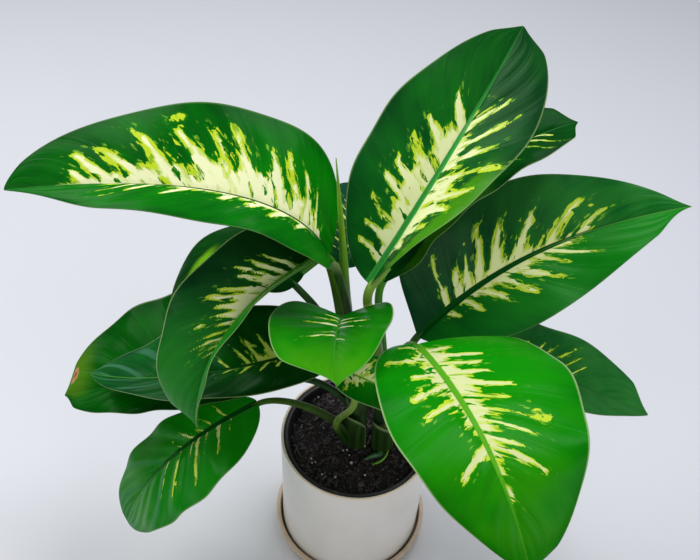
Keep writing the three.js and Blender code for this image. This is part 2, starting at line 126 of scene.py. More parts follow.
# How each leaf is marked, with its left (+) and right (-) sides as seen from its base.
# tone: how far each side runs from deep to bright green (left base, left tip, right base, right tip); it also paints
# light and shade, a side or a whole leaf made lighter or darker as light falls on it. blue: how much of the deep
# green turns bluish (base, tip), a painted bluish sheen that partly stands for a waxy bloom. rib: width in mm and
# colour
# name. edge: how pale the margin is. blush: how far the feathers turn from lime to cream. stalk: its colour name.
# lean: how far the side veins run on towards the tip, at the base and added by the tip (left, right).
# band: how far out the cream reaches beside the midrib, as (place along, place out). left, right: feathers, as (place
# along where it starts, how far out it runs, thickness). spots: (place along, place out, size). All these are in
# thousandths of the midrib or of the way out. Leaves without a left or right list get a few feathers from the seed.
# Extras: sheen is the gloss; paleness is the cream's brightness, set per leaf partly as painted light, lifting cream
# that lies in shade and dimming cream that lies in light; milk paints a milky sheen; warm paints sunlit yellow-green
# patches; lines are paler bands along the side veins; glow paints a band of light along the right margin; strip
# paints a lit strip near the right margin; scorch is the burnt spot near the tip, and quilt swells the blade between
# its veins.
marks_of = row_maker("tone", "blue", "rib", "edge", "blush", "stalk", "lean")
LEAF_MARKS = {
    "leaf_01_upper_left": marks_of(
        (0.5, 0.45, 0.55, 0.3), (0.1, 0.1), (1, "deep"), 0.25, 0.9, "olive", ((0.1, 0.15), (0.15, 0.03)), sheen=0.07,
        band=(((120, 0), (200, 160), (300, 200), (420, 180), (550, 80), (680, 50), (800, 0)), ((90, 0), (160, 220),
        (250, 340), (400, 380), (550, 380), (680, 260), (800, 120), (900, 0))), left=((730, 440, 6), (680, 560, 8),
        (590, 370, 12), (460, 260, 18), (380, 360, 20), (290, 400, 20), (200, 340, 16)), right=((830, 240, 12),
        (780, 520, 18), (720, 560, 22), (630, 760, 24), (540, 680, 28), (460, 680, 24), (400, 760, 24),
        (310, 620, 26), (250, 660, 20), (190, 560, 16), (140, 600, 10)), spots=((660, -800, 16),)),
    "leaf_02_upper_right": marks_of(
        (0.3, 0.25, 0.32, 0.08), (0.3, 0.2), (8, "mid"), 0.5, 0.75, "lime", ((-0.02, 0.55), (-0.02, 0.55)), milk=0.1,
        glow=0.9, band=(((30, 0), (80, 220), (180, 380), (300, 420), (440, 340), (550, 200), (660, 0)), ((50, 0),
        (120, 340), (220, 580), (340, 580), (440, 340), (580, 140), (680, 0))), left=((90, 660, 12), (140, 620, 16),
        (200, 600, 18), (270, 580, 22), (330, 520, 22), (400, 500, 24), (480, 470, 22), (600, 360, 24)),
        right=((140, 500, 20), (200, 620, 24), (260, 720, 24), (310, 840, 18), (380, 900, 18), (460, 640, 18),
        (530, 700, 14), (620, 460, 18)), spots=((740, -100, 10),)),
    "leaf_03_behind_right": marks_of(
        (0.1, 0.15, 0.1, 0.15), (0.1, 0.1), (2.4, "mid"), 0.7, 0.8, "bright", ((0.08, 0.1), (0.08, 0.1)), sheen=0.05,
        glow=0.4, left=((700, 400, 8), (560, 500, 10), (420, 500, 14)), right=((830, 350, 8), (770, 840, 6),
        (720, 850, 7), (620, 700, 8))),
    "leaf_04_right": marks_of(
        (0.05, 0.48, 0.42, 0.85), (0.4, 0.6), (7, "deep"), 0.15, 0.66, "dark", ((0, 0.5), (0, 0.64)), milk=0.45,
        paleness=1.06, band=(((180, 0), (280, 100), (360, 160), (460, 160), (560, 100), (660, 0)), ((140, 0),
        (240, 180), (360, 220), (460, 200), (560, 100), (660, 0))), left=((145, 800, 8), (200, 480, 16),
        (235, 520, 12), (280, 680, 17), (345, 580, 20), (430, 560, 24), (500, 160, 14), (545, 560, 20),
        (645, 360, 22)), right=((130, 300, 14), (190, 440, 16), (260, 480, 18), (320, 580, 18), (390, 580, 20),
        (470, 380, 14), (530, 440, 14), (600, 240, 16)), spots=((500, 480, 7), (310, 600, 6), (720, 420, 6))),
    "leaf_05_far_right": marks_of(
        (0.25, 0.4, 0.3, 0.35), (0.3, 0.6), (1.6, "deep"), 0.3, 0.9, "dark", ((0, 0.4), (0, 0.4)), milk=0.45,
        left=((460, 600, 7), (500, 660, 6), (545, 700, 7), (590, 540, 6), (640, 400, 5), (400, 500, 10),
        (280, 500, 12)), right=((200, 400, 12), (320, 400, 10), (450, 300, 6))),
    "leaf_06_front": marks_of(
        (0.9, 0.66, 0.76, 0.66), (0, 0), (6, "lime"), 0.9, 0.72, "bright", ((0.02, 0.58), (-0.02, 0.35)), warm=0.35,
        sheen=0.1, paleness=0.8, band=(((40, 0), (80, 200), (200, 240), (300, 260), (400, 180), (520, 160),
        (600, 20)), ((20, 0), (60, 260), (160, 340), (260, 340), (330, 120), (440, 80), (560, 0))),
        left=((55, 260, 12), (100, 440, 14), (140, 400, 14), (190, 360, 16), (245, 480, 14), (300, 380, 14),
        (360, 420, 14), (415, 520, 7), (480, 300, 14), (525, 500, 18), (615, 60, 20), (700, 80, 22)),
        right=((40, 660, 8), (110, 840, 14), (190, 500, 20), (255, 620, 22), (330, 540, 18), (430, 200, 14),
        (530, 560, 20)), spots=((460, 540, 22), (490, 620, 14))),
    "leaf_07_centre": marks_of(
        (0.55, 0.85, 0.6, 0.9), (0, 0), (1.6, "bright"), 0.7, 0.95, "dark", ((0.1, 0.8), (0.1, 0.8)), warm=0.75,
        left=((140, 540, 7), (200, 460, 6), (360, 300, 7), (90, 400, 6)), right=((100, 440, 8), (160, 560, 8),
        (270, 300, 6), (310, 530, 10), (50, 400, 5))),
    "leaf_08_under_front": marks_of(
        (0.65, 0.6, 0.6, 0.6), (0, 0), (1.2, "lime"), 1, 0.6, "young", ((0.05, 0.3), (0.05, 0.3)), warm=0.5,
        band=(((0, 900), (100, 900), (180, 300), (280, 0)), ((0, 700), (80, 700), (160, 300), (240, 0))),
        left=((120, 800, 20), (200, 400, 14)), right=((50, 850, 20), (120, 500, 20))),
    "leaf_09_left": marks_of(
        (0.75, 0.8, -0.12, 0.8), (0.1, 0.6), (2.6, "lime"), 0.9, 0.8, "bright", ((0.1, 0.55), (0.1, 0.55)), milk=0.3,
        band=(((0, 0), (1, 0)), ((120, 0), (180, 140), (240, 260), (310, 280), (380, 120), (450, 0))), left=(),
        right=((90, 500, 10), (130, 500, 14), (165, 600, 9), (195, 440, 18), (250, 520, 14), (285, 540, 18),
        (330, 360, 16), (380, 300, 14), (430, 200, 12), (470, 460, 6), (510, 420, 7), (550, 360, 6), (590, 220, 6)),
        spots=((530, -400, 18),)),
    "leaf_10_behind_left": marks_of(
        (0, 0.05, 0, 0), (0, 0), (2, "deep"), 0.5, 0.6, "dark", ((0.05, 0.4), (0.05, 0.4)), sheen=0.06, strip=0.9),
    "leaf_11_far_left": marks_of(
        (0.18, 0.36, 0.14, 0.3), (0, 0), (1.6, "deep"), 0.3, 0.3, "dark", ((0.05, 0.4), (0.05, 0.4)), sheen=0.06,
        scorch=0.9, left=(), right=()),
    "leaf_12_left_low": marks_of(
        (0.15, 0.3, 0.15, 0.3), (0, 0.45), (3, "deep"), 0.7, 0.1, "dark", ((0.05, 0.5), (0.05, 0.5)), lines=0.75,
        sheen=0.09, quilt=1.6, band=(((80, 0), (120, 60), (300, 60), (360, 0)), ((60, 0), (100, 100), (200, 120),
        (260, 0))), left=((120, 280, 10), (170, 300, 10), (240, 280, 10), (310, 260, 8)), right=((100, 400, 13),
        (150, 460, 12), (200, 420, 12), (250, 300, 9), (330, 220, 7))),
    "leaf_13_lowest_left": marks_of(
        (0.95, 0.62, 0.9, 0.58), (0, 0.5), (5, "deep"), 0.5, 0.5, "olive", ((0, 0.5), (0, 0.55)), lines=0.35,
        milk=0.75, warm=0.2, quilt=2.4, left=((130, 340, 4), (190, 580, 7), (255, 360, 4), (300, 760, 8),
        (335, 360, 4), (415, 660, 6.5), (500, 520, 4.5)), right=((137, 700, 5), (215, 580, 5), (270, 260, 6),
        (322, 480, 9), (400, 240, 4)), spots=((500, 500, 10), (440, -300, 6))),
    "leaf_14_back": marks_of(
        (0.1, 0.1, 0.1, 0.1), (0.6, 0.8), (1.6, "deep"), 0.3, 0.8, "dark", ((0.1, 0.4), (0.1, 0.4))),
}
STALK_COLOURS = {
    "dark": ((0.012, 0.045, 0.010), (0.020, 0.085, 0.014)),
    "olive": ((0.030, 0.070, 0.008), (0.050, 0.130, 0.010)),
    "bright": ((0.018, 0.090, 0.010), (0.060, 0.260, 0.016)),
    "lime": ((0.090, 0.220, 0.020), (0.240, 0.420, 0.060)),
    "young": ((0.012, 0.045, 0.006), (0.220, 0.380, 0.040)),
}
RIB_COLOURS = {
    "deep": (0.003, 0.075, 0.008),
    "mid": (0.050, 0.370, 0.065),
    "bright": (0.030, 0.300, 0.006),
    "lime": (0.100, 0.400, 0.014),
}
# Canes: the line they follow, radius below and above, leaf-scar rings.
CANES = {
    "cane_main": (((2, 0, 92), (1, 0, 200), (-12, 2, 268)), (10.5, 7.5), 5),
    "cane_side": (((25, -4, 92), (25, -3, 180), (16, 4, 246)), (9.5, 7), 4),
}
NEW_GROWTH = {
    "furled_leaf": (((-13, 4, 262), (-16, 6, 330), (-28, 0, 458)), 4.6),
    "soil_sprout": (((26, -14, 130), (22, -18, 140), (8, -26, 139)), 4),
}
SPROUT_CURL = ((17, -27, 134), (31, -26, 141), (31, -8, 135))  # a thin pale bract over the sprout
# Thin sleeves round the canes and round the bundle of petioles at the top of the main one: the line they follow,
# radius below and above, the way they face in degrees, how far round they go from there, and their flare.
SHEATHS = {
    "sheath_bundle": (((-12, 2, 246), (-14, 2, 306), (-28.5, -5, 371)), (8.8, 3.7), 300, 174, 0.0),
    "sheath_low_left": (((1, 0, 131), (1, 0, 160), (0, 0, 186)), (11.4, 10.2), 222, 96, 4.5),
    "sheath_main_middle": (((0, 0, 186), (-1, 0, 215), (-5, 1, 240)), (9.6, 8.6), 340, 130, 0.8),
    "sheath_side_low": (((25, -4, 131), (25, -4, 152), (25, -4, 176)), (10.2, 9.4), 232, 112, 1.6),
    "sheath_side_top": (((23, -1, 196), (21, 1, 220), (18, 3, 246)), (8.6, 8.0), 30, 150, 0.8),
}
NO_BAND = (((0, 0), (1, 0)), ((0, 0), (1, 0)))
NO_SHOULDER = ((0, 0.1), (0, 0.1))  # extra half width in mm, and how far along it is greatest (left, right)
DRIP = ((0.94, 0.85), (0.94, 0.85))  # from this share on each side runs in to a point, and how sharply
BLADE_THICK, TIP_WIDTH, RIB_DEPTH = 0.8, 0.9, 2.4
STALK_PULL = 0.16
NURSERY = dict(rim=67.3, lip=3.6, lip_depth=9, top=62, foot=50, wall=1.2)
POT_FLOOR, POT_DRAIN, SAUCER_FLOOR, SAUCER_RIM = 4.0, 8.0, 4.0, 4.5
SOIL_BELOW, SOIL_BUMP, SOIL_SUNK = 9, 1.12, 0.8
# The larger perlite grains, as (x, y, size), and the line of a broken twig.
PERLITE = ((-3, -28, 2.6), (-11, -16, 1.7), (-5, -19, 1.5), (10, -40, 2.0), (-17, -44, 1.6), (-36, -30, 1.3),
           (-52, 8, 1.5))
TWIG = ((-56, -12, 133.5), (-52.5, -18.5, 134.2), (-49, -25, 134.8), (-46, -21.5, 135.4), (-43, -18, 136.4))

# The camera, in metres and degrees, and the lights: place, size, power as a share of the window's, colour.
EYE, EYE_TILT, EYE_ROLL, EYE_LENS, EYE_SENSOR = (-0.014, -0.432, 0.774), 90.0 - 44.8, 3.38, 36.0 * 800.0 / 700.0, 36.0
AIM = (0, 0, 0.25)
LIGHTS = {
    "window": ((-1.2, 0.5, 1.6), (1.0, 1.0), 1.0, (1.0, 0.99, 0.97)),
    "ceiling": ((0.5, 0.6, 2.0), (1.2, 0.9), 1.15, (0.96, 0.97, 1.0)),
    "fill": ((1.5, -1.1, 1.2), (1.2, 1.2), 0.60, (1.0, 0.97, 0.93)),
    "side": ((-1.6, -0.9, 0.9), (1.0, 1.0), 0.42, (1.0, 0.97, 0.93)),
}


# ---------------------------------------------------------------- settings a user would change
def length(name, description, default):
    return FloatProperty(name=name, description=description, default=default, unit="LENGTH")


def amount(name, description, default):
    return FloatProperty(name=name, description=description, default=default, min=0)


def colour(name, description, default):
    return FloatVectorProperty(name=name, description=description, subtype="COLOR", default=default, min=0, max=1)


class PotSettings(bpy.types.PropertyGroup):
    pot_radius: length("Pot Radius", "Outer radius of the white cover pot", round(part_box("pot")[1].x, 4))
    pot_height: length(
        "Pot Height", "Height of the white cover pot", round(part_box("pot")[1].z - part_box("pot")[0].z, 4))
    pot_wall: length("Pot Wall", "Thickness of the cover pot's wall", 0.0022)
    saucer_radius: length("Saucer Radius", "Outer radius of the saucer", round(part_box("saucer")[1].x, 4))
    saucer_height: length("Saucer Height", "Height of the saucer's rim", 0.014)
    drains: IntProperty(
        name="Drain Holes", description="Drain holes in the nursery pot's floor", default=6, min=0, max=12)
    glaze: colour("Pot Glaze", "Colour of the cover pot's glaze", (0.86, 0.83, 0.785))
    saucer_colour: colour("Saucer Colour", "Colour of the saucer", (0.60, 0.47, 0.34))


class SoilSettings(bpy.types.PropertyGroup):
    chip_density: amount("Bark Density", "Bark chips to a square metre of soil", 90000.0)
    chip_size: length("Bark Size", "Length of a typical bark chip", 0.0050)
    perlite_density: amount("Perlite Density", "Perlite grains to a square metre of soil", 2600.0)
    perlite_size: length("Perlite Size", "Width of a perlite grain", 0.0017)
    seed: IntProperty(name="Seed", description="Changes how chips and grains fall", default=4)


class FoliageSettings(bpy.types.PropertyGroup):
    deep_green: colour("Deep Green", "Colour of the oldest leaves", (0.001, 0.038, 0.003))
    # A bluish green painted where the oldest leaves show a sheen; partly it stands for their waxy bloom.
    blue_green: colour("Blue Green", "Colour of the bluish parts of the oldest leaves", (0.010, 0.062, 0.036))
    bright_green: colour("Bright Green", "Colour of the youngest leaves", (0.003, 0.275, 0.001))
    cream: colour("Cream", "Colour of the pale feathers", (0.93, 0.95, 0.60))
    lime: colour("Lime", "Colour of the feathers' edges and ends", (0.52, 0.70, 0.02))
    vein_relief: length("Vein Relief", "How far the blade swells between its side veins", 0.0006)
    veins: IntProperty(name="Side Veins", description="Side veins along a midrib", default=11, min=3, max=30)
    seed: IntProperty(name="Seed", description="Changes the markings' fine detail", default=3)


class StageSettings(bpy.types.PropertyGroup):
    floor_colour: colour("Floor Colour", "Colour of the plain floor", (0.70, 0.72, 0.775))
    daylight: amount("Daylight", "Strength of the even light", 0.20)
    window_power: FloatProperty(
        name="Window Power", description="Power of the soft main light", default=18.5, unit="POWER")


# ---------------------------------------------------------------- node graphs
class Value:
    """A number socket that can be used in Python arithmetic."""

    def __init__(self, graph, socket):
        self.graph, self.socket = graph, socket

    def math(self, operation, *others):
        return self.graph.value("ShaderNodeMath", dict(enumerate((self, *others))), operation=operation)

    __add__ = __radd__ = partialmethod(math, "ADD")
    __mul__ = __rmul__ = partialmethod(math, "MULTIPLY")
    __sub__ = partialmethod(math, "SUBTRACT")
    __pow__ = partialmethod(math, "POWER")
    __abs__ = partialmethod(math, "ABSOLUTE")

    def __rsub__(self, other):
        return self.graph.value("ShaderNodeMath", {0: other, 1: self}, operation="SUBTRACT")

    def step(self, low, high):
        """0 below low, 1 above high, smooth between."""
        return self.graph.value(
            "ShaderNodeMapRange", {"Value": self, "From Min": low, "From Max": high}, interpolation_type="SMOOTHSTEP")

    def between(self, first, last):
        """From the first number to the last as this goes from 0 to 1."""
        return self * (last - first) + first


class Graph:
    """A node tree being built, for a material or for Geometry Nodes."""

    def __init__(self, tree):
        self.tree = tree

    def add(self, kind, inputs=None, **settings):
        """A node of that kind: its settings first, then the values or links of its inputs."""
        node = self.tree.nodes.new(kind)
        for key, value in settings.items():
            setattr(node, key, value)
        for key, value in (inputs or {}).items():
            if not isinstance(key, int) and key not in node.inputs:
                key = [socket.identifier for socket in node.inputs].index(key)
            self.put(node.inputs[key], value)
        return node

    def put(self, socket, value):
        if isinstance(value, Value):
            value = value.socket
        if isinstance(value, bpy.types.NodeSocket):
            self.tree.links.new(value, socket)
        else:
            socket.default_value = (*value, 1.0) if socket.type == "RGBA" and len(value) == 3 else value

    def get(self, kind, inputs=None, output=0, **settings):
        return self.add(kind, inputs, **settings).outputs[output]

    def value(self, kind, inputs=None, output=0, **settings):
        return Value(self, self.get(kind, inputs, output, **settings))


class Finish(Graph):
    """A material's node tree around one Principled shader."""

    def __init__(self, name, **constants):
        self.material = bpy.data.materials.new(name)
        self.material.use_nodes = True
        super().__init__(self.material.node_tree)
        self.shader = self.tree.nodes["Principled BSDF"].inputs
        for key, value in constants.items():
            self.put(self.shader[key.replace("_", " ")], value)
        self.place = self.get("ShaderNodeTexCoord", output="Object")

    def mix(self, factor, first, second):
        """The second colour over the first, by a factor from 0 to 1."""
        return self.get("ShaderNodeMix", {0: factor, 6: first, 7: second}, 2, data_type="RGBA")

    def noise(self, scale, detail=3.0, roughness=0.55, stretch=None, where=None):
        """Noise from 0 to 1 about 0.5 over the piece or a given vector; a small stretch draws it out upwards."""
        where = where or self.place
        if stretch:
            where = self.get("ShaderNodeMapping", {"Vector": where, "Scale": (1, 1, stretch)})
        return self.value("ShaderNodeTexNoise", {
            "Vector": where, "Scale": scale, "Detail": detail, "Roughness": roughness})

    def numbers(self, vector):
        """The three numbers of a vector."""
        return [Value(self, socket) for socket in self.add("ShaderNodeSeparateXYZ", {0: vector}).outputs]

    def cells(self, where):
        """A number from 0 to 1 that is the same all over each Voronoi cell."""
        return self.numbers(self.get("ShaderNodeTexVoronoi", {"Vector": where, "Scale": 1.0}, "Color"))[0]

    def vector(self, *numbers):
        return self.get("ShaderNodeCombineXYZ", dict(enumerate(numbers)))

    def parts(self, attribute):
        """The three numbers of a mesh attribute."""
        return self.numbers(self.get("ShaderNodeAttribute", output="Vector", attribute_name=attribute))

    def done(self, tint, roughness, height, strength, distance):
        """Wires up the colour, the roughness and the bump, and gives the material."""
        bump = self.get("ShaderNodeBump", {"Height": height, "Strength": strength, "Distance": distance})
        for key, value in (("Base Color", tint), ("Roughness", roughness), ("Normal", bump)):
            self.put(self.shader[key], value)
        return self.material


def shaded(tint, *factors):
    return [c * k for c, k in zip(tint, factors)]


# ---------------------------------------------------------------- materials
def white_glaze_finish(glaze, top):
    """Satin white glaze: faint clouding, a warm line at the rim and near the foot, fine orange peel."""
    f = Finish("white_satin_glaze", Coat_Weight=0.35, Coat_Roughness=0.18)
    height = f.numbers(f.place)[2]
    tint = f.mix(f.noise(22.0, 4.0).step(0.35, 0.7), glaze, shaded(glaze, 0.95, 0.945, 0.93))
    tint = f.mix(f.noise(14.0, stretch=0.12).step(0.52, 0.75) * 0.25, tint, shaded(glaze, 1.0, 0.99, 0.96))
    tint = f.mix((1 - height.step(0.004, 0.022)) * 0.35, tint, shaded(glaze, 0.80, 0.75, 0.66))
    tint = f.mix(height.step(top - 0.0030, top - 0.0008) * 0.7, tint, (0.90, 0.74, 0.56))
    peel = f.noise(260.0, 2.0) + f.noise(30.0, 2.0) * 0.8
    return f.done(tint, f.noise(60.0, 2.0) * 0.12 + 0.27, peel, 0.06, 0.0004)


def saucer_finish(glaze):
    """Beige stoneware saucer: fine specks, and painted shade in its well between the pot and the rim."""
    f = Finish("beige_saucer_glaze", Coat_Weight=0.15, Coat_Roughness=0.3)
    x, y, _ = f.numbers(f.place)
    grain = f.noise(90.0, 5.0, stretch=3)
    tint = f.mix(grain.step(0.35, 0.68), shaded(glaze, 0.86, 0.86, 0.86), glaze)
    # Painted shade: the well inside the rim is darker and browner, where the gap round the pot lies in shadow.
    well_shade = 1 - (x * x + y * y).math("SQRT").step(0.0712, 0.0735)
    tint = f.mix(well_shade * 0.75, tint, (0.16, 0.105, 0.06))
    specks = f.noise(620.0, 1.0).step(0.66, 0.72)
    tint = f.mix(specks * 0.35, tint, (0.22, 0.14, 0.08))
    return f.done(tint, grain * 0.25 + 0.36, grain + specks * -0.6, 0.12, 0.0004)


def nursery_plastic_finish():
    """Thin black moulded plastic, greyed by dried water marks near the rim."""
    f = Finish("nursery_black_plastic")
    marks = f.noise(48.0, 6.0, 0.65)
    dust = marks.step(0.5, 0.72) * f.numbers(f.place)[2].step(0.10, 0.145)
    tint = f.mix(dust * 0.45, (0.012, 0.012, 0.013), (0.11, 0.105, 0.095))
    return f.done(tint, marks * 0.3 + 0.33, f.noise(300.0) * 0.4 + marks * 0.6, 0.18, 0.0005)


def peat_finish():
    """Damp peat between the chips."""
    f = Finish("damp_peat", Specular_IOR_Level=0.25)
    lumps = f.noise(210.0, 8.0, 0.7)
    tint = f.mix(lumps.step(0.4, 0.7), (0.0025, 0.0018, 0.0020), (0.022, 0.015, 0.014))
    tint = f.mix(f.noise(30.0).step(0.5, 0.75) * 0.5, tint, (0.034, 0.021, 0.022))
    return f.done(tint, lumps * 0.3 + 0.62, lumps + f.noise(900.0, 4.0) * 0.3, 0.9, 0.0014)


def bark_finish():
    """Bark chips: dark, a little purple where damp, greyer on their dry ridges."""
    f = Finish("bark_chips")
    tone = f.noise(95.0, 2.0)
    fibre = f.noise(700.0, 4.0, 0.6, stretch=0.3)
    tint = f.mix(tone.step(0.38, 0.66), (0.005, 0.0035, 0.004), (0.032, 0.022, 0.023))
    tint = f.mix(fibre.step(0.55, 0.8) * 0.45, tint, (0.085, 0.070, 0.066))
    return f.done(tint, tone * 0.35 + 0.24, fibre + tone, 0.6, 0.0006)


def perlite_finish():
    """Crumbly white perlite, stained by the peat."""
    f = Finish("perlite")
    stain = f.noise(420.0, 4.0)
    tint = f.mix(stain.step(0.45, 0.75), (0.50, 0.49, 0.46), (0.20, 0.17, 0.14))
    return f.done(tint, stain * 0.2 + 0.7, stain, 0.8, 0.0006)


def twig_finish():
    """A dry twig."""
    f = Finish("dry_twig")
    fibre = f.noise(380.0, 5.0)
    tint = f.mix(fibre.step(0.35, 0.7), (0.035, 0.028, 0.024), (0.16, 0.13, 0.11))
    return f.done(tint, fibre * 0.2 + 0.65, fibre, 0.6, 0.0004)


def cane_finish():
    """Fleshy dark cane with paler, corky leaf scars between its internodes."""
    f = Finish("dark_green_cane", Specular_IOR_Level=0.25)
    ring = f.parts("blade")[1]
    streak = f.noise(120.0, 4.0, stretch=0.12)
    tint = f.mix(streak.step(0.35, 0.7), (0.008, 0.026, 0.008), (0.030, 0.086, 0.018))
    tint = f.mix(f.noise(46.0, 5.0).step(0.5, 0.68) * 0.6, tint, (0.050, 0.110, 0.022))
    tint = f.mix(ring * 0.9, tint, (0.150, 0.165, 0.075))
    return f.done(tint, streak * 0.25 + 0.3, streak + ring * 0.8, 0.35, 0.0008)


def sheath_finish():
    """The papery sheath round a cane: green, with a thin pale edge."""
    f = Finish("stem_sheath", Specular_IOR_Level=0.2)
    turn, height, _ = f.parts("blade")
    fibre = f.noise(240.0, stretch=0.08)
    tint = f.mix(fibre.step(0.35, 0.7), (0.014, 0.036, 0.006), (0.030, 0.086, 0.014))
    edge = abs(turn).math("MAXIMUM", height)
    tint = f.mix(edge.step(0.88, 0.97) * 0.85, tint, (0.170, 0.260, 0.095))
    return f.done(tint, fibre * 0.2 + 0.34, fibre, 0.4, 0.0006)


def stalk_finish(name, low, high):
    """A petiole: streaked along its length, from one colour at the cane to another at the blade."""
    f = Finish(name, Specular_IOR_Level=0.2)
    streak = f.noise(150.0, 4.0, stretch=0.2)
    tint = f.mix(f.parts("blade")[0].step(0.1, 0.9), low, high)
    tint = f.mix(streak.step(0.4, 0.75) * 0.4, tint, shaded(high, 1.7, 1.7, 1.7))
    return f.done(tint, streak * 0.2 + 0.3, streak, 0.25, 0.0005)


def new_growth_finish():
    """Smooth new leaf tissue, lime green with fine lengthwise lines."""
    f = Finish("new_growth_skin", Coat_Weight=0.15, Coat_Roughness=0.25)
    line = f.noise(260.0, stretch=0.06)
    tint = f.mix(f.parts("blade")[0].step(0.0, 0.8), (0.070, 0.250, 0.012), (0.200, 0.440, 0.024))
    tint = f.mix(line.step(0.45, 0.75) * 0.5, tint, (0.330, 0.500, 0.060))
    return f.done(tint, line * 0.15 + 0.3, line, 0.25, 0.0005)


def sprout_finish():
    """The sprout on the soil: bluish green with a paler edge where its sheath overlaps."""
    f = Finish("sprout_skin", Coat_Weight=0.1, Coat_Roughness=0.3)
    line = f.noise(260.0)
    tint = f.mix(line.step(0.35, 0.7), (0.014, 0.070, 0.022), (0.030, 0.130, 0.034))
    seam = f.noise(95.0, 1.0).step(0.56, 0.62)
    tint = f.mix(seam * 0.6, tint, (0.120, 0.260, 0.080))
    return f.done(tint, line * 0.2 + 0.35, line + seam, 0.3, 0.0006)


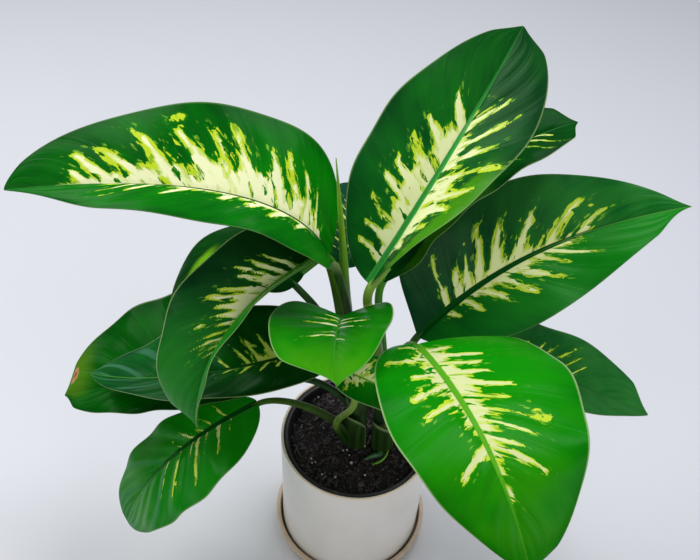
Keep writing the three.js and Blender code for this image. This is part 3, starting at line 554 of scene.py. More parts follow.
def leaf_finish(name, marks, settings, seed):
    """A waxy blade: green by tone, cream feathers from the mesh broken up along the side veins, midrib, pale margin
    and a duller underside."""
    f = Finish("blade_" + name, Specular_IOR_Level=marks.get("sheen", 0.12), Specular_Tint=(0.36, 0.70, 0.40))
    share, out, rib_mm = f.parts("blade")
    vein, cream, under = f.parts("marks")
    reach = abs(out)
    on_left = out.step(-0.01, 0.01)
    side = on_left * 7.0
    bright = settings.bright_green

    feather = f.noise(1.0, 3.0, 0.6, where=f.vector(vein * 58.0, out * 3.4, side + seed))
    fine = f.noise(1.0, 3.0, 0.6, where=f.vector(vein * 190.0, out * 15.0, side + seed + 3.0))
    lane = f.noise(1.0, 2.0, where=f.vector(vein * 24.0, out * 1.6, side + seed + 6.0))
    blocks = f.cells(f.vector(vein * 60.0 + fine * 0.6, out * 7.0, side + seed))
    flecks = f.cells(f.vector(vein * 150.0 + feather, out * 17.0, side + seed + 9.0))
    broad = f.noise(17.0, 2.0)

    tip_share = share.step(0.15, 0.9)
    # Painted sheen: towards the tip the deep green turns bluish by the marks' blue; partly a waxy bloom.
    deep = f.mix(tip_share.between(*marks["blue"]), settings.deep_green, settings.blue_green)
    # The tone paints light and shade as well as age: each side of each leaf is lighter or darker as light falls on
    # it.
    tone = tip_share.between(*marks["tone"][:2]) * on_left + tip_share.between(*marks["tone"][2:]) * (1 - on_left)
    tone = tone + (lane - 0.5) * 0.35 + (broad - 0.5) * 0.55 + (fine - 0.5) * 0.12 - reach.step(0.75, 1.0) * 0.12
    green = f.mix(tone.step(-0.1, 1.1), deep, bright)
    # Painted sheen: milky, paler green patches, stronger towards the tip.
    if "milk" in marks:
        sheen_patch = (broad + lane * 0.4).step(0.50, 0.85) * (tip_share * 0.85 + 0.15)
        green = f.mix(sheen_patch * marks["milk"], green, (0.050, 0.205, 0.050))
    # Painted sunlight: yellow-green patches towards the tip, less at the margin.
    if "warm" in marks:
        sunny = tip_share * (1 - reach.step(0.6, 1.0) * 0.4) * broad.step(0.35, 0.60)
        green = f.mix(sunny * marks["warm"], green, (0.060, 0.300, 0.003))
    if "lines" in marks:
        crest = (vein * (math.pi * settings.veins) + 0.9).math("COSINE").step(0.55, 1.0) * tip_share
        green = f.mix(crest * (1 - reach.step(0.7, 1.0)) * marks["lines"], green, (0.060, 0.220, 0.115))
    # Painted light: a band of lit yellow-green along the right margin, from near the base to about halfway.
    if "glow" in marks:
        lit = (reach + (feather - 0.5) * 0.2).step(0.60, 0.74) * (1 - on_left)
        lit = lit * share.step(0.03, 0.12) * (1 - share.step(0.45, 0.60))
        green = f.mix(lit * marks["glow"], green, (0.060, 0.290, 0.004))
    # Painted light: a narrow lit strip partway out on the right side, on the outer part of the blade.
    if "strip" in marks:
        lit = (reach + (feather - 0.5) * 0.1).step(0.16, 0.26) * (1 - reach.step(0.44, 0.60)) * (1 - on_left)
        green = f.mix(lit * share.step(0.58, 0.68) * marks["strip"], green, (0.150, 0.420, 0.008))

    body = cream + (feather - 0.5) * 1.8 + (blocks - 0.5) * 1.2 + (fine - 0.5) * 0.9
    shape = body.step(-0.02, 0.12)
    blush = marks["blush"]
    core = cream * 0.6 + (lane - 0.5) * 1.2 + (blocks - 0.5) * 0.5 - reach * 0.55 + (1 - share) * 0.15
    core = core.step(0.05, 0.55 - 0.15 * blush)
    # Painted light: the cream's brightness is set per leaf, partly to lift cream that lies in shade and dim cream in
    # light.
    cream_colour = [c * marks.get("paleness", 1.0) for c in settings.cream]
    pale = f.mix(core * blush + (1 - blush) * 0.1, settings.lime, cream_colour)
    pale = f.mix(flecks.step(0.80, 0.88) * (1 - core) * 0.7, pale, (0.100, 0.330, 0.010))
    top = f.mix(shape, f.mix(body.step(-0.9, 0.1) * 0.30, green, bright), pale)
    specks = flecks.step(0.90, 0.94) * cream.step(-2.6, -0.6) * feather.step(0.42, 0.56)
    top = f.mix(specks * (1 - shape) * 0.8, top, (0.260, 0.560, 0.040))

    width, rib_name = marks["rib"]
    half_width = (1 - share) ** 0.9 * (0.5 * width) + 0.22
    rib = 1 - (abs(rib_mm) + (feather - 0.5) * 0.5 - half_width).step(-0.3, 0.35)
    rib = rib * (1 - share.step(0.55, 0.85) * 0.65)
    top = f.mix(rib, top, RIB_COLOURS[rib_name])
    if rib_name == "deep" and width > 2.0:
        line = (1 - abs(rib_mm).step(0.3, 0.75)) * share.step(0.35, 0.75)
        top = f.mix(line * 0.6, top, (0.090, 0.330, 0.050))
    edge = (reach + (fine - 0.5) * 0.006).step(0.972, 0.996)
    top = f.mix(edge * marks["edge"], top, (0.330, 0.500, 0.190))
    if "scorch" in marks:
        along, across = share - 0.945, out + 0.62
        apart = (along * along * 900.0 + across * across * 9.0).math("SQRT")
        burn = 1 - (apart + (broad - 0.5) * 1.2 + (fine - 0.5) * 0.6)
        top = f.mix(burn.step(-2.8, 0.4) * 0.7, top, (0.090, 0.230, 0.008))
        top = f.mix(burn.step(0.50, 0.66) * marks["scorch"], top, (0.480, 0.250, 0.130))
        top = f.mix(burn.step(0.82, 0.95) * marks["scorch"], top, (0.260, 0.060, 0.020))

    dull = f.mix(tone.step(0.0, 1.0), (0.040, 0.150, 0.030), (0.080, 0.270, 0.040))
    dull = f.mix(rib, f.mix(shape * 0.6, dull, (0.420, 0.520, 0.200)), (0.180, 0.340, 0.110))
    roughness = lane * 0.10 + broad * 0.12 + under * 0.22 + 0.13
    groove = (vein * (math.tau * settings.veins)).math("COSINE").step(0.86, 1.0)
    fine_lines = (vein * (math.tau * settings.veins * 5)).math("COSINE")
    relief = groove * -0.7 + fine_lines * 0.05 + fine * 0.12 + broad * 0.8
    return f.done(f.mix(under, top, dull), roughness, relief, 0.22, 0.0009)


# ---------------------------------------------------------------- meshes
def new_object(name, data):
    found = bpy.data.objects.new(name, data)
    bpy.context.scene.collection.objects.link(found)
    return found


def mesh_of(name, points, faces, smooth=True):
    mesh = bpy.data.meshes.new(name)
    mesh.from_pydata([tuple(p) for p in points], [], faces)
    mesh.update()
    if smooth:
        mesh.shade_smooth()
    return mesh


def give_vectors(mesh, name, values):
    """Stores three numbers on each point of a mesh, for its material to read."""
    attribute = mesh.attributes.new(name, "FLOAT_VECTOR", "POINT")
    attribute.data.foreach_set("vector", np.asarray(values, np.float32).ravel())


def face_outwards(mesh, weld=True):
    """Turns a closed mesh's faces outwards."""
    work = bmesh.new()
    work.from_mesh(mesh)
    if weld:
        bmesh.ops.remove_doubles(work, verts=work.verts, dist=1e-7)
    bmesh.ops.recalc_face_normals(work, faces=work.faces)
    work.to_mesh(mesh)
    work.free()


def filleted(profile, radius, steps=4):
    """A closed profile of (radius, height) points in mm with its corners rounded."""
    out = []
    for i, (x, y) in enumerate(profile):
        here = Vector((x, y))
        before, after = Vector(profile[i - 1]), Vector(profile[(i + 1) % len(profile)])
        cut = min(radius, (before - here).length * 0.4, (after - here).length * 0.4)
        if x < 0.01 or cut < 0.05:
            out.append((x, y))
            continue
        start = here + (before - here).normalized() * cut
        end = here + (after - here).normalized() * cut
        for u in (k / steps for k in range(steps + 1)):
            out.append(tuple(start * (1 - u) ** 2 + here * 2 * u * (1 - u) + end * u ** 2))
    return out


def turned(name, profile, segments=160):
    """A closed solid turned about +Z from a closed profile in mm."""
    rings = len(profile)
    points, faces = [], []
    for k in range(segments):
        turn = math.tau * k / segments
        points += [(x * math.cos(turn) * MM, x * math.sin(turn) * MM, y * MM) for x, y in profile]
        for i in range(rings):
            after = (i + 1) % rings
            if profile[i][0] >= 0.01 or profile[after][0] >= 0.01:
                here, beyond = k * rings, (k + 1) % segments * rings
                faces.append((here + i, beyond + i, beyond + after, here + after))
    mesh = mesh_of(name, points, faces)
    face_outwards(mesh)
    return new_object(name, mesh)


def shell_faces(rows, columns):
    """The faces of a thin closed sheet: two grids of points, the second under the first, joined at their rims."""
    count = (rows + 1) * columns
    faces = []
    for a in (i * columns + j for i in range(rows) for j in range(columns - 1)):
        b, c, d = a + 1, a + columns + 1, a + columns
        faces += [(a, b, c, d), (count + a, count + d, count + c, count + b)]
    rim = ([*range(columns)] + [i * columns + columns - 1 for i in range(1, rows + 1)]
           + [rows * columns + j for j in range(columns - 2, -1, -1)] + [i * columns for i in range(rows - 1, 0, -1)])
    return faces + [(a, count + a, count + b, b) for a, b in zip(rim, rim[1:] + rim[:1])]


def finish_piece(piece, node, material):
    """Gives a piece its material and body, in place of a CAD node where one is named."""
    piece.data.materials.clear()
    piece.data.materials.append(material)
    piece.data.polygons.foreach_set("material_index", [0] * len(piece.data.polygons))
    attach(piece, "root")
    if node:
        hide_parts(node)


# ---------------------------------------------------------------- Geometry Nodes
def node_group(name, **inputs):
    """The graph of a Geometry Nodes tree with the named inputs, and their sockets. An underscore is a space."""
    tree = bpy.data.node_groups.new(name, "GeometryNodeTree")
    for way in ("INPUT", "OUTPUT"):
        tree.interface.new_socket("Geometry", in_out=way, socket_type="NodeSocketGeometry")
    for label, kind in inputs.items():
        tree.interface.new_socket(label.replace("_", " "), in_out="INPUT", socket_type="NodeSocket" + kind)
    graph = Graph(tree)
    return graph, graph.add("NodeGroupInput").outputs


def end_group(g, geometry, material):
    """Ends a tree in Realize Instances and Set Material."""
    real = g.get("GeometryNodeRealizeInstances", {0: geometry})
    g.add("NodeGroupOutput", {0: g.get("GeometryNodeSetMaterial", {0: real, "Material": material})})
    return g.tree


def run_group(obj, tree, **values):
    """The plain mesh that a tree makes from an object."""
    modifier = obj.modifiers.new(tree.name, "NODES")
    modifier.node_group = tree
    sockets = {s.name.replace(" ", "_"): s.identifier for s in tree.interface.items_tree if s.in_out == "INPUT"}
    for label, value in values.items():
        modifier[sockets[label]] = value
    bpy.context.view_layer.update()
    mesh = bpy.data.meshes.new_from_object(obj.evaluated_get(bpy.context.evaluated_depsgraph_get()))
    obj.modifiers.remove(modifier)
    return mesh


def stem_group():
    """Follows a path with a round, tapering stem; rings swell it where leaves have dropped."""
    g, given = node_group(
        "stem_along_path", Sides="Int", Low_Radius="Float", High_Radius="Float", Taper="Float", Rings="Float",
        Ring_Height="Float", Material="Material")
    along = g.value("GeometryNodeSplineParameter")
    taper = along ** given["Taper"]
    ring = (along * given["Rings"] * math.tau).math("COSINE").math("MAXIMUM", 0.0) ** 10.0
    radius = Value(g, given["Low Radius"]) * (1 - taper) + Value(g, given["High Radius"]) * taper
    curve = g.get("GeometryNodeStoreNamedAttribute", {
        0: g.get("GeometryNodeMeshToCurve", {0: given["Geometry"]}), "Name": "blade",
        "Value": g.get("ShaderNodeCombineXYZ", {0: along, 1: ring})}, data_type="FLOAT_VECTOR", domain="POINT")
    profile = g.get("GeometryNodeCurvePrimitiveCircle", {"Resolution": given["Sides"], "Radius": 1.0})
    tube = g.get("GeometryNodeCurveToMesh", {
        0: curve, 1: profile, "Scale": radius + ring * given["Ring Height"], "Fill Caps": True})
    return end_group(g, tube, given["Material"])


def scatter_group():
    """Scatters rough crumbs over the level parts of a surface."""
    g, given = node_group(
        "crumbs_on_soil", Density="Float", Size="Float", Stretch="Vector", Detail="Int", Seed="Int",
        Roughness="Float", Material="Material")
    upright = g.get("ShaderNodeSeparateXYZ", {0: g.get("GeometryNodeInputNormal")}, 2)
    level = g.get("FunctionNodeCompare", {0: upright, 1: 0.6}, data_type="FLOAT", operation="GREATER_THAN")
    spots = g.get("GeometryNodeDistributePointsOnFaces", {
        "Mesh": given["Geometry"], "Selection": level, "Density": given["Density"], "Seed": given["Seed"]},
        distribute_method="RANDOM")
    kinds = g.add("GeometryNodeJoinGeometry")
    for k in range(4):
        ball = g.get("GeometryNodeMeshIcoSphere", {"Radius": 0.5, "Subdivisions": given["Detail"]})
        shift = {0: g.get("GeometryNodeInputPosition"), 1: (3.1 * k, 1.7 * k, 0.9)}
        moved = g.get("ShaderNodeVectorMath", shift, operation="ADD")
        rough = g.get("ShaderNodeTexNoise", {"Vector": moved, "Scale": 2.2, "Detail": 2.0}, "Color")
        push = g.get("ShaderNodeVectorMath", {0: rough, 1: (0.5, 0.5, 0.5)}, operation="SUBTRACT")
        push = g.get("ShaderNodeVectorMath", {0: push, "Scale": given["Roughness"]}, operation="SCALE")
        lumpy = g.get("GeometryNodeSetPosition", {0: ball, "Offset": push})
        g.put(kinds.inputs[0], g.get("GeometryNodeGeometryToInstance", {0: lumpy}))
    spin = g.get("FunctionNodeRandomValue", {
        "Min": (-0.5, -0.5, 0.0), "Max": (0.5, 0.5, math.tau), "Seed": given["Seed"]}, data_type="FLOAT_VECTOR")
    grow = g.value("FunctionNodeRandomValue", {"Min_001": 0.0, "Max_001": 1.0, "Seed": 7}, 1, data_type="FLOAT")
    scale = (grow ** 2.0 * 1.3 + 0.45) * given["Size"]
    placed = g.get("GeometryNodeInstanceOnPoints", {
        "Points": spots, "Instance": kinds.outputs[0], "Pick Instance": True, "Rotation": spin,
        "Scale": g.get("ShaderNodeVectorMath", {0: given["Stretch"], "Scale": scale}, operation="SCALE")})
    return end_group(g, placed, given["Material"])


def drain_group():
    """Cuts a ring of round drain holes through a pot's floor."""
    g, given = node_group(
        "drain_holes", Holes="Int", Hole_Radius="Float", Ring_Radius="Float", Height="Float", Material="Material")
    ring = g.get(
        "GeometryNodeMeshCircle", {"Vertices": given["Holes"], "Radius": given["Ring Radius"]}, fill_type="NONE")
    lift = g.get("ShaderNodeCombineXYZ", {2: given["Height"]})
    drills = g.get("GeometryNodeInstanceOnPoints", {
        "Points": g.get("GeometryNodeSetPosition", {0: ring, "Offset": lift}),
        "Instance": g.get("GeometryNodeMeshCylinder", {
            "Vertices": 24, "Radius": given["Hole Radius"], "Depth": 0.006})})
    drills = g.get("GeometryNodeRealizeInstances", {0: drills})
    cut = g.get("GeometryNodeMeshBoolean", {"Mesh 1": given["Geometry"], "Mesh 2": drills}, operation="DIFFERENCE")
    return end_group(g, cut, given["Material"])


def stem(name, tree, points, sides, radius, material, taper=1.0, rings=0.0, ring_height=0.0):
    """A stem's mesh along points in mm, its radius in mm at the start and the end."""
    line = bpy.data.meshes.new(name + "_path")
    line.from_pydata([Vector(p) * MM for p in points], [(i, i + 1) for i in range(len(points) - 1)], [])
    path = new_object(name + "_path", line)
    mesh = run_group(
        path, tree, Sides=sides, Low_Radius=radius[0] * MM, High_Radius=radius[1] * MM, Taper=taper,
        Rings=float(rings), Ring_Height=ring_height * MM, Material=material)
    mesh.name = name
    bpy.data.objects.remove(path)
    face_outwards(mesh)
    mesh.shade_smooth()
    return mesh


# ---------------------------------------------------------------- blade shape
def bezier(points, count):
    """Points of a Bezier curve of any degree."""
    u = np.linspace(0, 1, count)[:, None]
    pts = [np.asarray(p, float) for p in points]
    while len(pts) > 1:
        pts = [a * (1 - u) + b * u for a, b in zip(pts, pts[1:])]
    return pts[0]


def unit(vectors):
    return vectors / np.linalg.norm(vectors, axis=1, keepdims=True)


class Blade:
    """One leaf's surface, in mm: where a share along the midrib and a share out to a margin lie."""

    def __init__(self, shape):
        self.shape = shape
        base, mid, tip = (np.asarray(p, float) for p in shape["rib"])
        self.base, self.pull, self.tip = base, 2 * mid - (base + tip) / 2, tip
        self.length = float(np.linalg.norm(np.diff(bezier((base, self.pull, tip), 60), axis=0), axis=1).sum())

    def frame(self, s):
        """Place, direction, face normal and direction to the left, for an array of shares."""
        s = np.asarray(s, float)[:, None]
        place = self.base * (1 - s) ** 2 + self.pull * 2 * s * (1 - s) + self.tip * s ** 2
        along = unit((self.pull - self.base) * (1 - s) + (self.tip - self.pull) * s)
        face = unit(np.array([0.0, 0.0, 1.0]) - along * along[:, 2:3])
        low, high = self.shape["roll"]
        roll = np.radians(low + (high - low) * s)
        face = face * np.cos(roll) + np.cross(along, face) * np.sin(roll)
        return place, along, face, np.cross(face, along)

    def half(self, side, s):
        """The width from the midrib to a side's margin, for an array of shares."""
        heel, point = self.shape["heel"][side], self.shape["point"][side]
        widest = heel / (heel + point)
        rise = np.clip(s, 1e-6, 1) / widest
        fall = np.clip(1 - s, 1e-6, 1) / (1 - widest)
        start, sharp = self.shape.get("drip", DRIP)[side]
        last = np.clip((s - start) / (1 - start), 0, 1)
        point = point + (max(point, sharp) - point) * last ** 2 * (3 - 2 * last)
        more, place = self.shape.get("shoulder", NO_SHOULDER)[side]
        shoulder = more * np.sin(np.pi * np.clip(s / (2 * place), 0, 1)) ** 2
        width = self.shape["half"][side] * rise ** heel * fall ** point
        return width + shoulder + TIP_WIDTH * (1 - 0.6 * last)

    def surface(self, s, t):
        """A grid of points for shares s along and t out, from -1 at the right margin to 1 at the left, and how far
        out each lies from the midrib."""
        place, _, face, left = self.frame(s)
        sides = (t <= 0).astype(int)
        half = np.stack([self.half(0, s), self.half(1, s)])[sides].T
        reach = np.abs(t)[None, :]
        fold = np.radians(np.interp(s, (0, 1), self.shape["fold"]))[:, None]
        high, count, phase = self.shape["wave"]
        ripple = high * np.sin(math.tau * (count * s[:, None] + phase + 0.3 * sides)) * np.sin(math.pi * s)[:, None]
        rise = half * (reach * np.sin(fold) - self.shape["droop"] * reach ** 2) + ripple * reach ** 2
        out = np.sign(t)[None, :] * half * reach
        return place[:, None] + left[:, None] * (out * np.cos(fold))[..., None] + face[:, None] * rise[..., None], out


def feathers(strokes, band, vein, reach):
    """How far inside the cream each point is: above 0 inside, and falling below it outside."""
    places, widths = np.array(band).T / 1000
    best = np.clip((np.interp(vein, places, widths) * 0.75 - reach) / 0.10, -3, 0.5)
    best = np.where((vein < places[0]) | (vein > places[-1]), -3, best)
    for start, far, thick in strokes:
        along = reach / far
        taper = thick * (0.40 + 0.95 * np.clip(1 - along, 0.0, 1.0))
        inside = 1 - np.abs(vein - start - 0.003 * np.sin(reach * 9 + start * 40)) / taper
        inside = np.minimum(inside, (1 - along) * far / 0.05)
        best = np.maximum(best, np.clip(inside, -3, 1))
    return best


def strokes_for(side, marks, rng):
    """A side's own feathers, or a few from the seed."""
    if side in marks:
        return [[v / 1000 for v in stroke] for stroke in marks[side]]
    return [(0.12 + 0.08 * k + rng.uniform(-0.02, 0.02), rng.uniform(0.3, 0.6), rng.uniform(0.004, 0.012))
            for k in range(7)]


def blade_mesh(name, blade, marks, settings, seed):
    """The blade as a closed thin solid with its veins' relief, and the shares that its material reads."""
    rows = int(blade.length / 1.4) + 30
    side_columns = int(max(blade.shape["half"]) / 2.2) + 12
    e = np.linspace(0, 1, rows + 1)
    s = 0.0004 + 0.9992 * (0.35 * e + 0.65 * (0.5 - 0.5 * np.cos(math.pi * e)))
    k = np.linspace(0, 1, side_columns + 1)
    out = 0.55 * k + 0.45 * (0.5 - 0.5 * np.cos(math.pi * k))
    t = np.concatenate([-out[:0:-1], out])
    grid, far = blade.surface(s, t)

    # Which side vein each point lies on: the share of the midrib where that vein leaves it.
    low, more = np.where(t[None, :] > 0, *np.array(marks["lean"])[:, :, None])
    reach = np.abs(t)[None, :]
    vein = (s[:, None] - low * reach) / (1 + more * reach)
    share, signed, reach = (values * np.ones_like(vein) for values in (s[:, None], t[None, :], reach))

    quilt = marks.get("quilt", 1.0) * settings.vein_relief / MM
    swell = 0.5 - 0.5 * np.cos(math.tau * settings.veins * vein)
    envelope = np.clip(reach * 5, 0, 1) * (1 - reach ** 6) * np.clip(np.sin(math.pi * s), 0, 1)[:, None] ** 0.5
    uneven = np.array([[noise.noise(Vector((a * 0.02, b * 0.02, seed))) for a, b, _ in row] for row in grid])
    relief = quilt * swell ** 0.6 * envelope + 1.7 * uneven * envelope
    channel = -0.8 * np.exp(-(far / 1.8) ** 2) * (1 - s)[:, None] ** 0.5
    normal = np.cross(np.gradient(grid, axis=1), np.gradient(grid, axis=0))
    normal /= np.linalg.norm(normal, axis=2, keepdims=True) + 1e-12
    up = -normal if np.mean(np.sum(normal * blade.frame(s)[2][:, None], axis=2)) < 0 else normal
    thin = BLADE_THICK / 2 * (1 - 0.45 * reach ** 8)
    ridge = RIB_DEPTH * np.exp(-(far / 2.2) ** 2) * (1 - s)[:, None]
    upper = grid + up * (thin + relief + channel)[..., None]
    lower = grid - up * (thin - relief * 0.8 + ridge)[..., None]
    points = np.concatenate([upper.reshape(-1, 3), lower.reshape(-1, 3)]) * MM
    mesh = mesh_of(name, points, shell_faces(rows, len(t)))

    rng = random.Random(seed)
    bands = marks.get("band", NO_BAND)
    left, right = (feathers(strokes_for(side, marks, rng), band, vein, reach)
                   for side, band in zip(("left", "right"), bands))
    cream = np.where(signed > 0, left, right)
    for along, across, size in marks.get("spots", ()):
        apart = np.hypot((share - along / 1000) / (size / 1000), (signed - across / 1000) / (size / 1000 * 3))
        cream = np.maximum(cream, np.clip(1 - apart, -3, 0.45))
    shares = np.stack([share, signed, far], axis=2).reshape(-1, 3)
    shade = np.stack([vein, cream, np.zeros_like(vein)], axis=2).reshape(-1, 3)
    give_vectors(mesh, "blade", np.concatenate([shares, shares]))
    give_vectors(mesh, "marks", np.concatenate([shade, shade + np.array([0, 0, 1.0])]))
    return mesh


def stalk_path(blade):
    """The petiole's centre line, from its cane to under the midrib."""
    start, bend, *arrive = (np.asarray(p, float) for p in blade.shape["stalk"])
    place, along, face, _ = blade.frame(np.array([0.0, 0.03, 0.08]))
    radius = blade.shape["radius"][1]
    end = blade.base - face[0] * 0.8 * radius
    pull = np.linalg.norm(start - blade.base) * STALK_PULL
    line = bezier((start, bend, *(arrive or [end - along[0] * pull]), end), 26)
    return np.concatenate([line, [place[1] - face[1] * 1.2 * radius, place[2] - face[2] * 1.8 * radius]])


def join_meshes(name, meshes):
    """One object from several meshes, their points' attributes and materials kept."""
    parts = [new_object(f"{name}_{i}", mesh) for i, mesh in enumerate(meshes)]
    with bpy.context.temp_override(active_object=parts[0], selected_editable_objects=parts, selected_objects=parts):
        bpy.ops.object.join()
    parts[0].name = parts[0].data.name = name
    return parts[0]


def sheath_mesh(name, path, radius, facing, spread, flare):
    """A thin sleeve along a path in mm, highest on the side it faces, its upper part leaning out."""
    columns, rows, wall = 56, 22, 0.7
    line = bezier(path, 101)
    values, shell = [], []
    for layer in (wall, 0.0):
        for i in range(rows + 1):
            for j in range(columns + 1):
                turn = 2 * j / columns - 1
                share = (1 - 0.45 * abs(turn) ** 2.2) * i / rows
                angle = math.radians(facing + turn * spread)
                out = radius[0] + (radius[1] - radius[0]) * share + layer * (1 - 0.5 * abs(turn) ** 6)
                out += flare * share ** 2 * (1 - turn ** 2)
                shell.append(line[round(share * 100)] + out * np.array([math.cos(angle), math.sin(angle), 0.0]))
                values.append((turn, i / rows, 0.0))
    mesh = mesh_of(name, np.array(shell) * MM, shell_faces(rows, columns + 1))
    give_vectors(mesh, "blade", values)
    face_outwards(mesh, weld=False)
    return mesh


# ---------------------------------------------------------------- soil
def soil_height(x, y, top):
    """Height of the lumpy soil at a place, in mm."""
    lumps = math.sin(x * 0.21 + 1.3) * math.cos(y * 0.17) + 0.6 * math.sin(x * 0.43 - y * 0.37)
    return top + SOIL_BUMP * lumps


def soil_mesh(low, edge, top, rings=40, sides=120):
    """The soil as a closed solid: a tapering side, and rings of crumbling soil that close in to the middle."""
    turns = [(math.cos(a), math.sin(a)) for a in np.linspace(0, math.tau, sides, endpoint=False)]
    points, faces = [(0, 0, low * MM)], []
    for radius, height in ((edge - 11, low), (edge, soil_height(edge, 0, top) - 6)):
        points += [(radius * x * MM, radius * y * MM, height * MM) for x, y in turns]
    for radius in (edge * (1 - ring / rings) for ring in range(rings)):
        for x, y in ((radius * x, radius * y) for x, y in turns):
            crumb = 1.2 * noise.fractal(Vector((x * 0.22, y * 0.22, 2.0)), 0.8, 2.1, 4)
            points.append((x * MM, y * MM, (soil_height(x, y, top) + crumb - SOIL_SUNK) * MM))
    points.append((0, 0, (soil_height(0, 0, top) - SOIL_SUNK) * MM))
    for k in range(sides):
        after = (k + 1) % sides
        faces.append((0, 1 + after, 1 + k))
        for a in (1 + ring * sides for ring in range(rings + 1)):
            faces.append((a + k, a + after, a + sides + after, a + sides + k))
        last = 1 + (rings + 1) * sides
        faces.append((last + k, last + after, len(points) - 1))
    mesh = mesh_of("soil_bed", points, faces)
    face_outwards(mesh)
    return mesh


def lumps_mesh(top):
    """The larger perlite grains, each where it lies."""
    work = bmesh.new()
    for x, y, size in PERLITE:
        place = Vector((x, y, soil_height(x, y, top) + 0.9)) * MM
        ball = bmesh.ops.create_icosphere(
            work, subdivisions=2, radius=0.5 * size * MM, matrix=Matrix.Translation(place))
        for point in ball["verts"]:
            point.co += (point.co - place) * 0.5 * noise.noise(point.co * 1400)
    mesh = bpy.data.meshes.new("perlite_lumps")
    work.to_mesh(mesh)
    work.free()
    mesh.shade_smooth()
    return mesh


# ---------------------------------------------------------------- operators
class PLANT_OT_camera(bpy.types.Operator):
    """Places the camera above and in front of the plant, tilted as a hand-held one is"""

    bl_idname = "plant.camera"
    bl_label = "Camera"

    def execute(self, context):
        camera = bpy.data.cameras.new("camera")
        camera.sensor_fit = "HORIZONTAL"
        camera.sensor_width = EYE_SENSOR
        camera.lens = EYE_LENS
        eye = new_object("camera", camera)
        tilt = Matrix.Rotation(math.radians(EYE_TILT), 4, "X")
        eye.matrix_world = Matrix.Translation(EYE) @ tilt @ Matrix.Rotation(math.radians(EYE_ROLL), 4, "Z")
        context.scene.camera = eye
        return {"FINISHED"}


class PLANT_OT_stage(bpy.types.Operator):
    """Lays a plain pale floor and lights it softly from a wide window side and from above"""

    bl_idname = "plant.stage"
    bl_label = "Floor and Light"

    def execute(self, context):
        settings = context.scene.plant_stage
        tint = settings.floor_colour
        mesh = mesh_of("floor", [(-6, -6, 0), (6, -6, 0), (6, 6, 0), (-6, 6, 0)], [(0, 1, 2, 3)], smooth=False)
        floor = new_object("floor", mesh)
        f = Finish("pale_floor", Roughness=0.6)
        cloud = f.noise(3.0, 2.0).step(0.3, 0.7) * 0.3
        f.put(f.shader["Base Color"], f.mix(cloud, tint, shaded(tint, 0.97, 0.97, 0.97)))
        mesh.materials.append(f.material)
        world = bpy.data.worlds.new("daylight")
        world.use_nodes = True
        back = world.node_tree.nodes["Background"]
        back.inputs["Color"].default_value = (0.93, 0.96, 1.0, 1.0)
        back.inputs["Strength"].default_value = settings.daylight
        context.scene.world = world
        for name, (place, size, share, hue) in LIGHTS.items():
            light = bpy.data.lights.new(name, "AREA")
            light.shape = "RECTANGLE"
            light.size, light.size_y = size
            light.energy, light.color = settings.window_power * share, hue
            lamp = new_object(name, light)
            lamp.location = place
            lamp.rotation_euler = (Vector(AIM) - Vector(place)).to_track_quat("-Z", "Y").to_euler()
        context.scene.view_settings.view_transform = "Standard"
        return {"FINISHED"}


class PLANT_OT_saucer(bpy.types.Operator):
    """Turns the shallow beige saucer"""

    bl_idname = "plant.saucer"
    bl_label = "Saucer"

    def execute(self, context):
        settings = context.scene.plant_pot
        r, h = settings.saucer_radius / MM, settings.saucer_height / MM
        floor, inside = SAUCER_FLOOR, r - SAUCER_RIM
        profile = [(0, 0.8), (r - 12, 0.8), (r - 10, 0), (r - 6, 0), (r - 1, 5), (r, h), (inside, h),
                   (inside, floor + 1.5), (inside - 1.5, floor), (0, floor)]
        piece = turned("saucer_glazed", filleted(profile, 1.5))
        finish_piece(piece, "saucer", saucer_finish(settings.saucer_colour))
        return {"FINISHED"}


class PLANT_OT_pot(bpy.types.Operator):
    """Turns the white cylinder pot with its softly rounded rim and foot"""

    bl_idname = "plant.pot"
    bl_label = "Cover Pot"

    def execute(self, context):
        settings = context.scene.plant_pot
        r, h, wall = (v / MM for v in (settings.pot_radius, settings.pot_height, settings.pot_wall))
        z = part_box("pot")[0].z / MM
        middle, floor = z + h / 2, z + POT_FLOOR
        profile = [(POT_DRAIN, z), (r - 3, z), (r - 0.9, z + 0.9), (r, z + 3), (r, middle), (r, z + h),
                   (r - wall, z + h), (r - wall, middle), (r - wall, floor), (POT_DRAIN, floor)]
        piece = turned("pot_glazed", filleted(profile, 0.9))
        finish_piece(piece, "pot", white_glaze_finish(settings.glaze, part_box("pot")[1].z))
        return {"FINISHED"}


class PLANT_OT_nursery_pot(bpy.types.Operator):
    """Turns the thin black nursery pot, its turned-out rim and its drain holes"""

    bl_idname = "plant.nursery_pot"
    bl_label = "Nursery Pot"

    def execute(self, context):
        z, h = (corner.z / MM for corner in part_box("nursery_pot"))
        rim, lip, depth, top, foot, wall = NURSERY.values()
        profile = [(0, z), (foot, z), (top, h - depth), (rim - 0.4, h - depth), (rim, h - depth + 0.6), (rim, h - 2),
                   (rim - 1, h), (rim - lip, h), (rim - lip - 0.6, h - 1.4), (top - wall, h - depth - 1),
                   (foot - wall, z + wall), (0, z + wall)]
        piece = turned("nursery_pot_moulded", filleted(profile, 0.8, 3))
        material = nursery_plastic_finish()
        drains = context.scene.plant_pot.drains
        if drains:
            piece.data = run_group(
                piece, drain_group(), Holes=drains, Hole_Radius=0.005, Ring_Radius=0.62 * foot * MM, Height=z * MM,
                Material=material)
            piece.data.shade_smooth()
            piece.data.set_sharp_from_angle(angle=math.radians(40))
        finish_piece(piece, "nursery_pot", material)
        return {"FINISHED"}


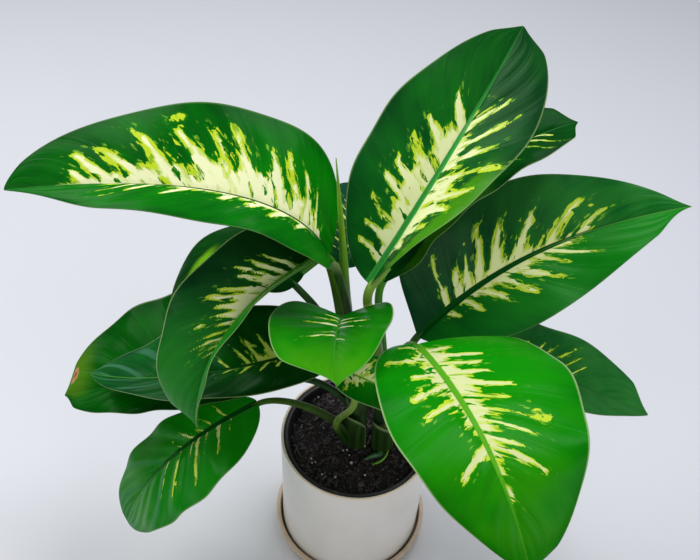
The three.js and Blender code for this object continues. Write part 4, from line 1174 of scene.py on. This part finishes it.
class PLANT_OT_soil(bpy.types.Operator):
    """Fills the nursery pot with peat and scatters bark chips, perlite and a broken twig over it"""

    bl_idname = "plant.soil"
    bl_label = "Soil"

    def execute(self, context):
        settings = context.scene.plant_soil
        low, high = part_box("soil")
        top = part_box("pot")[1].z / MM - SOIL_BELOW
        bed = new_object("soil_bed", soil_mesh(low.z / MM, high.x / MM, top))
        finish_piece(bed, "soil", peat_finish())

        scatter = scatter_group()
        bark, white, dry = bark_finish(), perlite_finish(), twig_finish()
        chips = run_group(
            bed, scatter, Density=settings.chip_density, Size=settings.chip_size, Stretch=(1.0, 0.42, 0.24), Detail=2,
            Seed=settings.seed, Roughness=0.55, Material=bark)
        grains = run_group(
            bed, scatter, Density=settings.perlite_density, Size=settings.perlite_size, Stretch=(1.0, 0.8, 0.7),
            Detail=2, Seed=settings.seed + 5, Roughness=0.4, Material=white)
        twig = stem("broken_twig", stem_group(), TWIG, 10, (0.9, 0.5), dry)
        for name, mesh, material in (("bark_chips", chips, bark), ("perlite_grains", grains, white),
                                     ("perlite_lumps", lumps_mesh(top), white), ("broken_twig", twig, dry)):
            finish_piece(new_object(name, mesh), None, material)
        return {"FINISHED"}


class PLANT_OT_canes(bpy.types.Operator):
    """Grows the two ringed canes and the sheaths that clasp them"""

    bl_idname = "plant.canes"
    bl_label = "Canes"

    def execute(self, context):
        tree = stem_group()
        skin, wrap = cane_finish(), sheath_finish()
        for name, (path, radius, rings) in CANES.items():
            mesh = stem(name + "_stem", tree, bezier(path, 90), 32, radius, skin, rings=rings, ring_height=0.7)
            finish_piece(new_object(name + "_stem", mesh), name, skin)
        for name, sheath in SHEATHS.items():
            finish_piece(new_object(name, sheath_mesh(name, *sheath)), None, wrap)
        return {"FINISHED"}


class PLANT_OT_new_growth(bpy.types.Operator):
    """Grows the furled leaf at the top of the main cane and the sprout on the soil"""

    bl_idname = "plant.new_growth"
    bl_label = "New Growth"

    def execute(self, context):
        tree = stem_group()
        fresh = new_growth_finish()
        for (name, (path, radius)), skin in zip(NEW_GROWTH.items(), (fresh, sprout_finish())):
            mesh = stem(name + "_shoot", tree, bezier(path, 60), 24, (radius, 0.3), skin, taper=1.6)
            finish_piece(new_object(name + "_shoot", mesh), name, skin)
        curl = stem("sprout_curl", tree, bezier(SPROUT_CURL, 24), 12, (1.3, 0.5), fresh)
        finish_piece(new_object("sprout_curl", curl), None, fresh)
        return {"FINISHED"}


class PLANT_OT_leaves(bpy.types.Operator):
    """Grows every leaf: its veined, feathered blade and its petiole"""

    bl_idname = "plant.leaves"
    bl_label = "Leaves"

    def execute(self, context):
        settings = context.scene.plant_foliage
        tree = stem_group()
        stalks = {kind: stalk_finish("petiole_" + kind, *ends) for kind, ends in STALK_COLOURS.items()}
        for k, (name, shape) in enumerate(LEAF_SHAPES.items()):
            marks = LEAF_MARKS[name]
            blade = Blade(shape)
            surface = blade_mesh(name, blade, marks, settings, settings.seed + k)
            surface.materials.append(leaf_finish(name[5:], marks, settings, settings.seed + 11.0 * k))
            tube = stem(name + "_petiole", tree, stalk_path(blade), 20, shape["radius"], stalks[marks["stalk"]], 0.5)
            piece = join_meshes(name + "_grown", [surface, tube])
            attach(piece, "root")
            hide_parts(name)
        return {"FINISHED"}


class PLANT_PT_panel(bpy.types.Panel):
    """Lists the plant's pieces and settings in the sidebar"""

    bl_idname = "PLANT_PT_panel"
    bl_label = "Dieffenbachia"
    bl_space_type = "VIEW_3D"
    bl_region_type = "UI"
    bl_category = "Plant"

    def draw(self, context):
        for operator in STEPS:
            self.layout.operator(operator.bl_idname)
        for group in GROUPS:
            box = self.layout.box()
            settings = getattr(context.scene, group)
            for name in settings.__annotations__:
                box.prop(settings, name)


STEPS = (
    PLANT_OT_camera, PLANT_OT_stage, PLANT_OT_saucer, PLANT_OT_pot, PLANT_OT_nursery_pot, PLANT_OT_soil,
    PLANT_OT_canes, PLANT_OT_new_growth, PLANT_OT_leaves)
GROUPS = {
    "plant_pot": PotSettings, "plant_soil": SoilSettings, "plant_foliage": FoliageSettings,
    "plant_stage": StageSettings}


def register():
    for group in (*GROUPS.values(), *STEPS, PLANT_PT_panel):
        bpy.utils.register_class(group)
    for name, group in GROUPS.items():
        setattr(bpy.types.Scene, name, PointerProperty(type=group))


def unregister():
    for name in GROUPS:
        delattr(bpy.types.Scene, name)
    for group in reversed((*GROUPS.values(), *STEPS, PLANT_PT_panel)):
        bpy.utils.unregister_class(group)


def main():
    register()
    for step in STEPS:
        family, name = step.bl_idname.split(".")
        getattr(getattr(bpy.ops, family), name)()


if __name__ == "__main__":
    main()
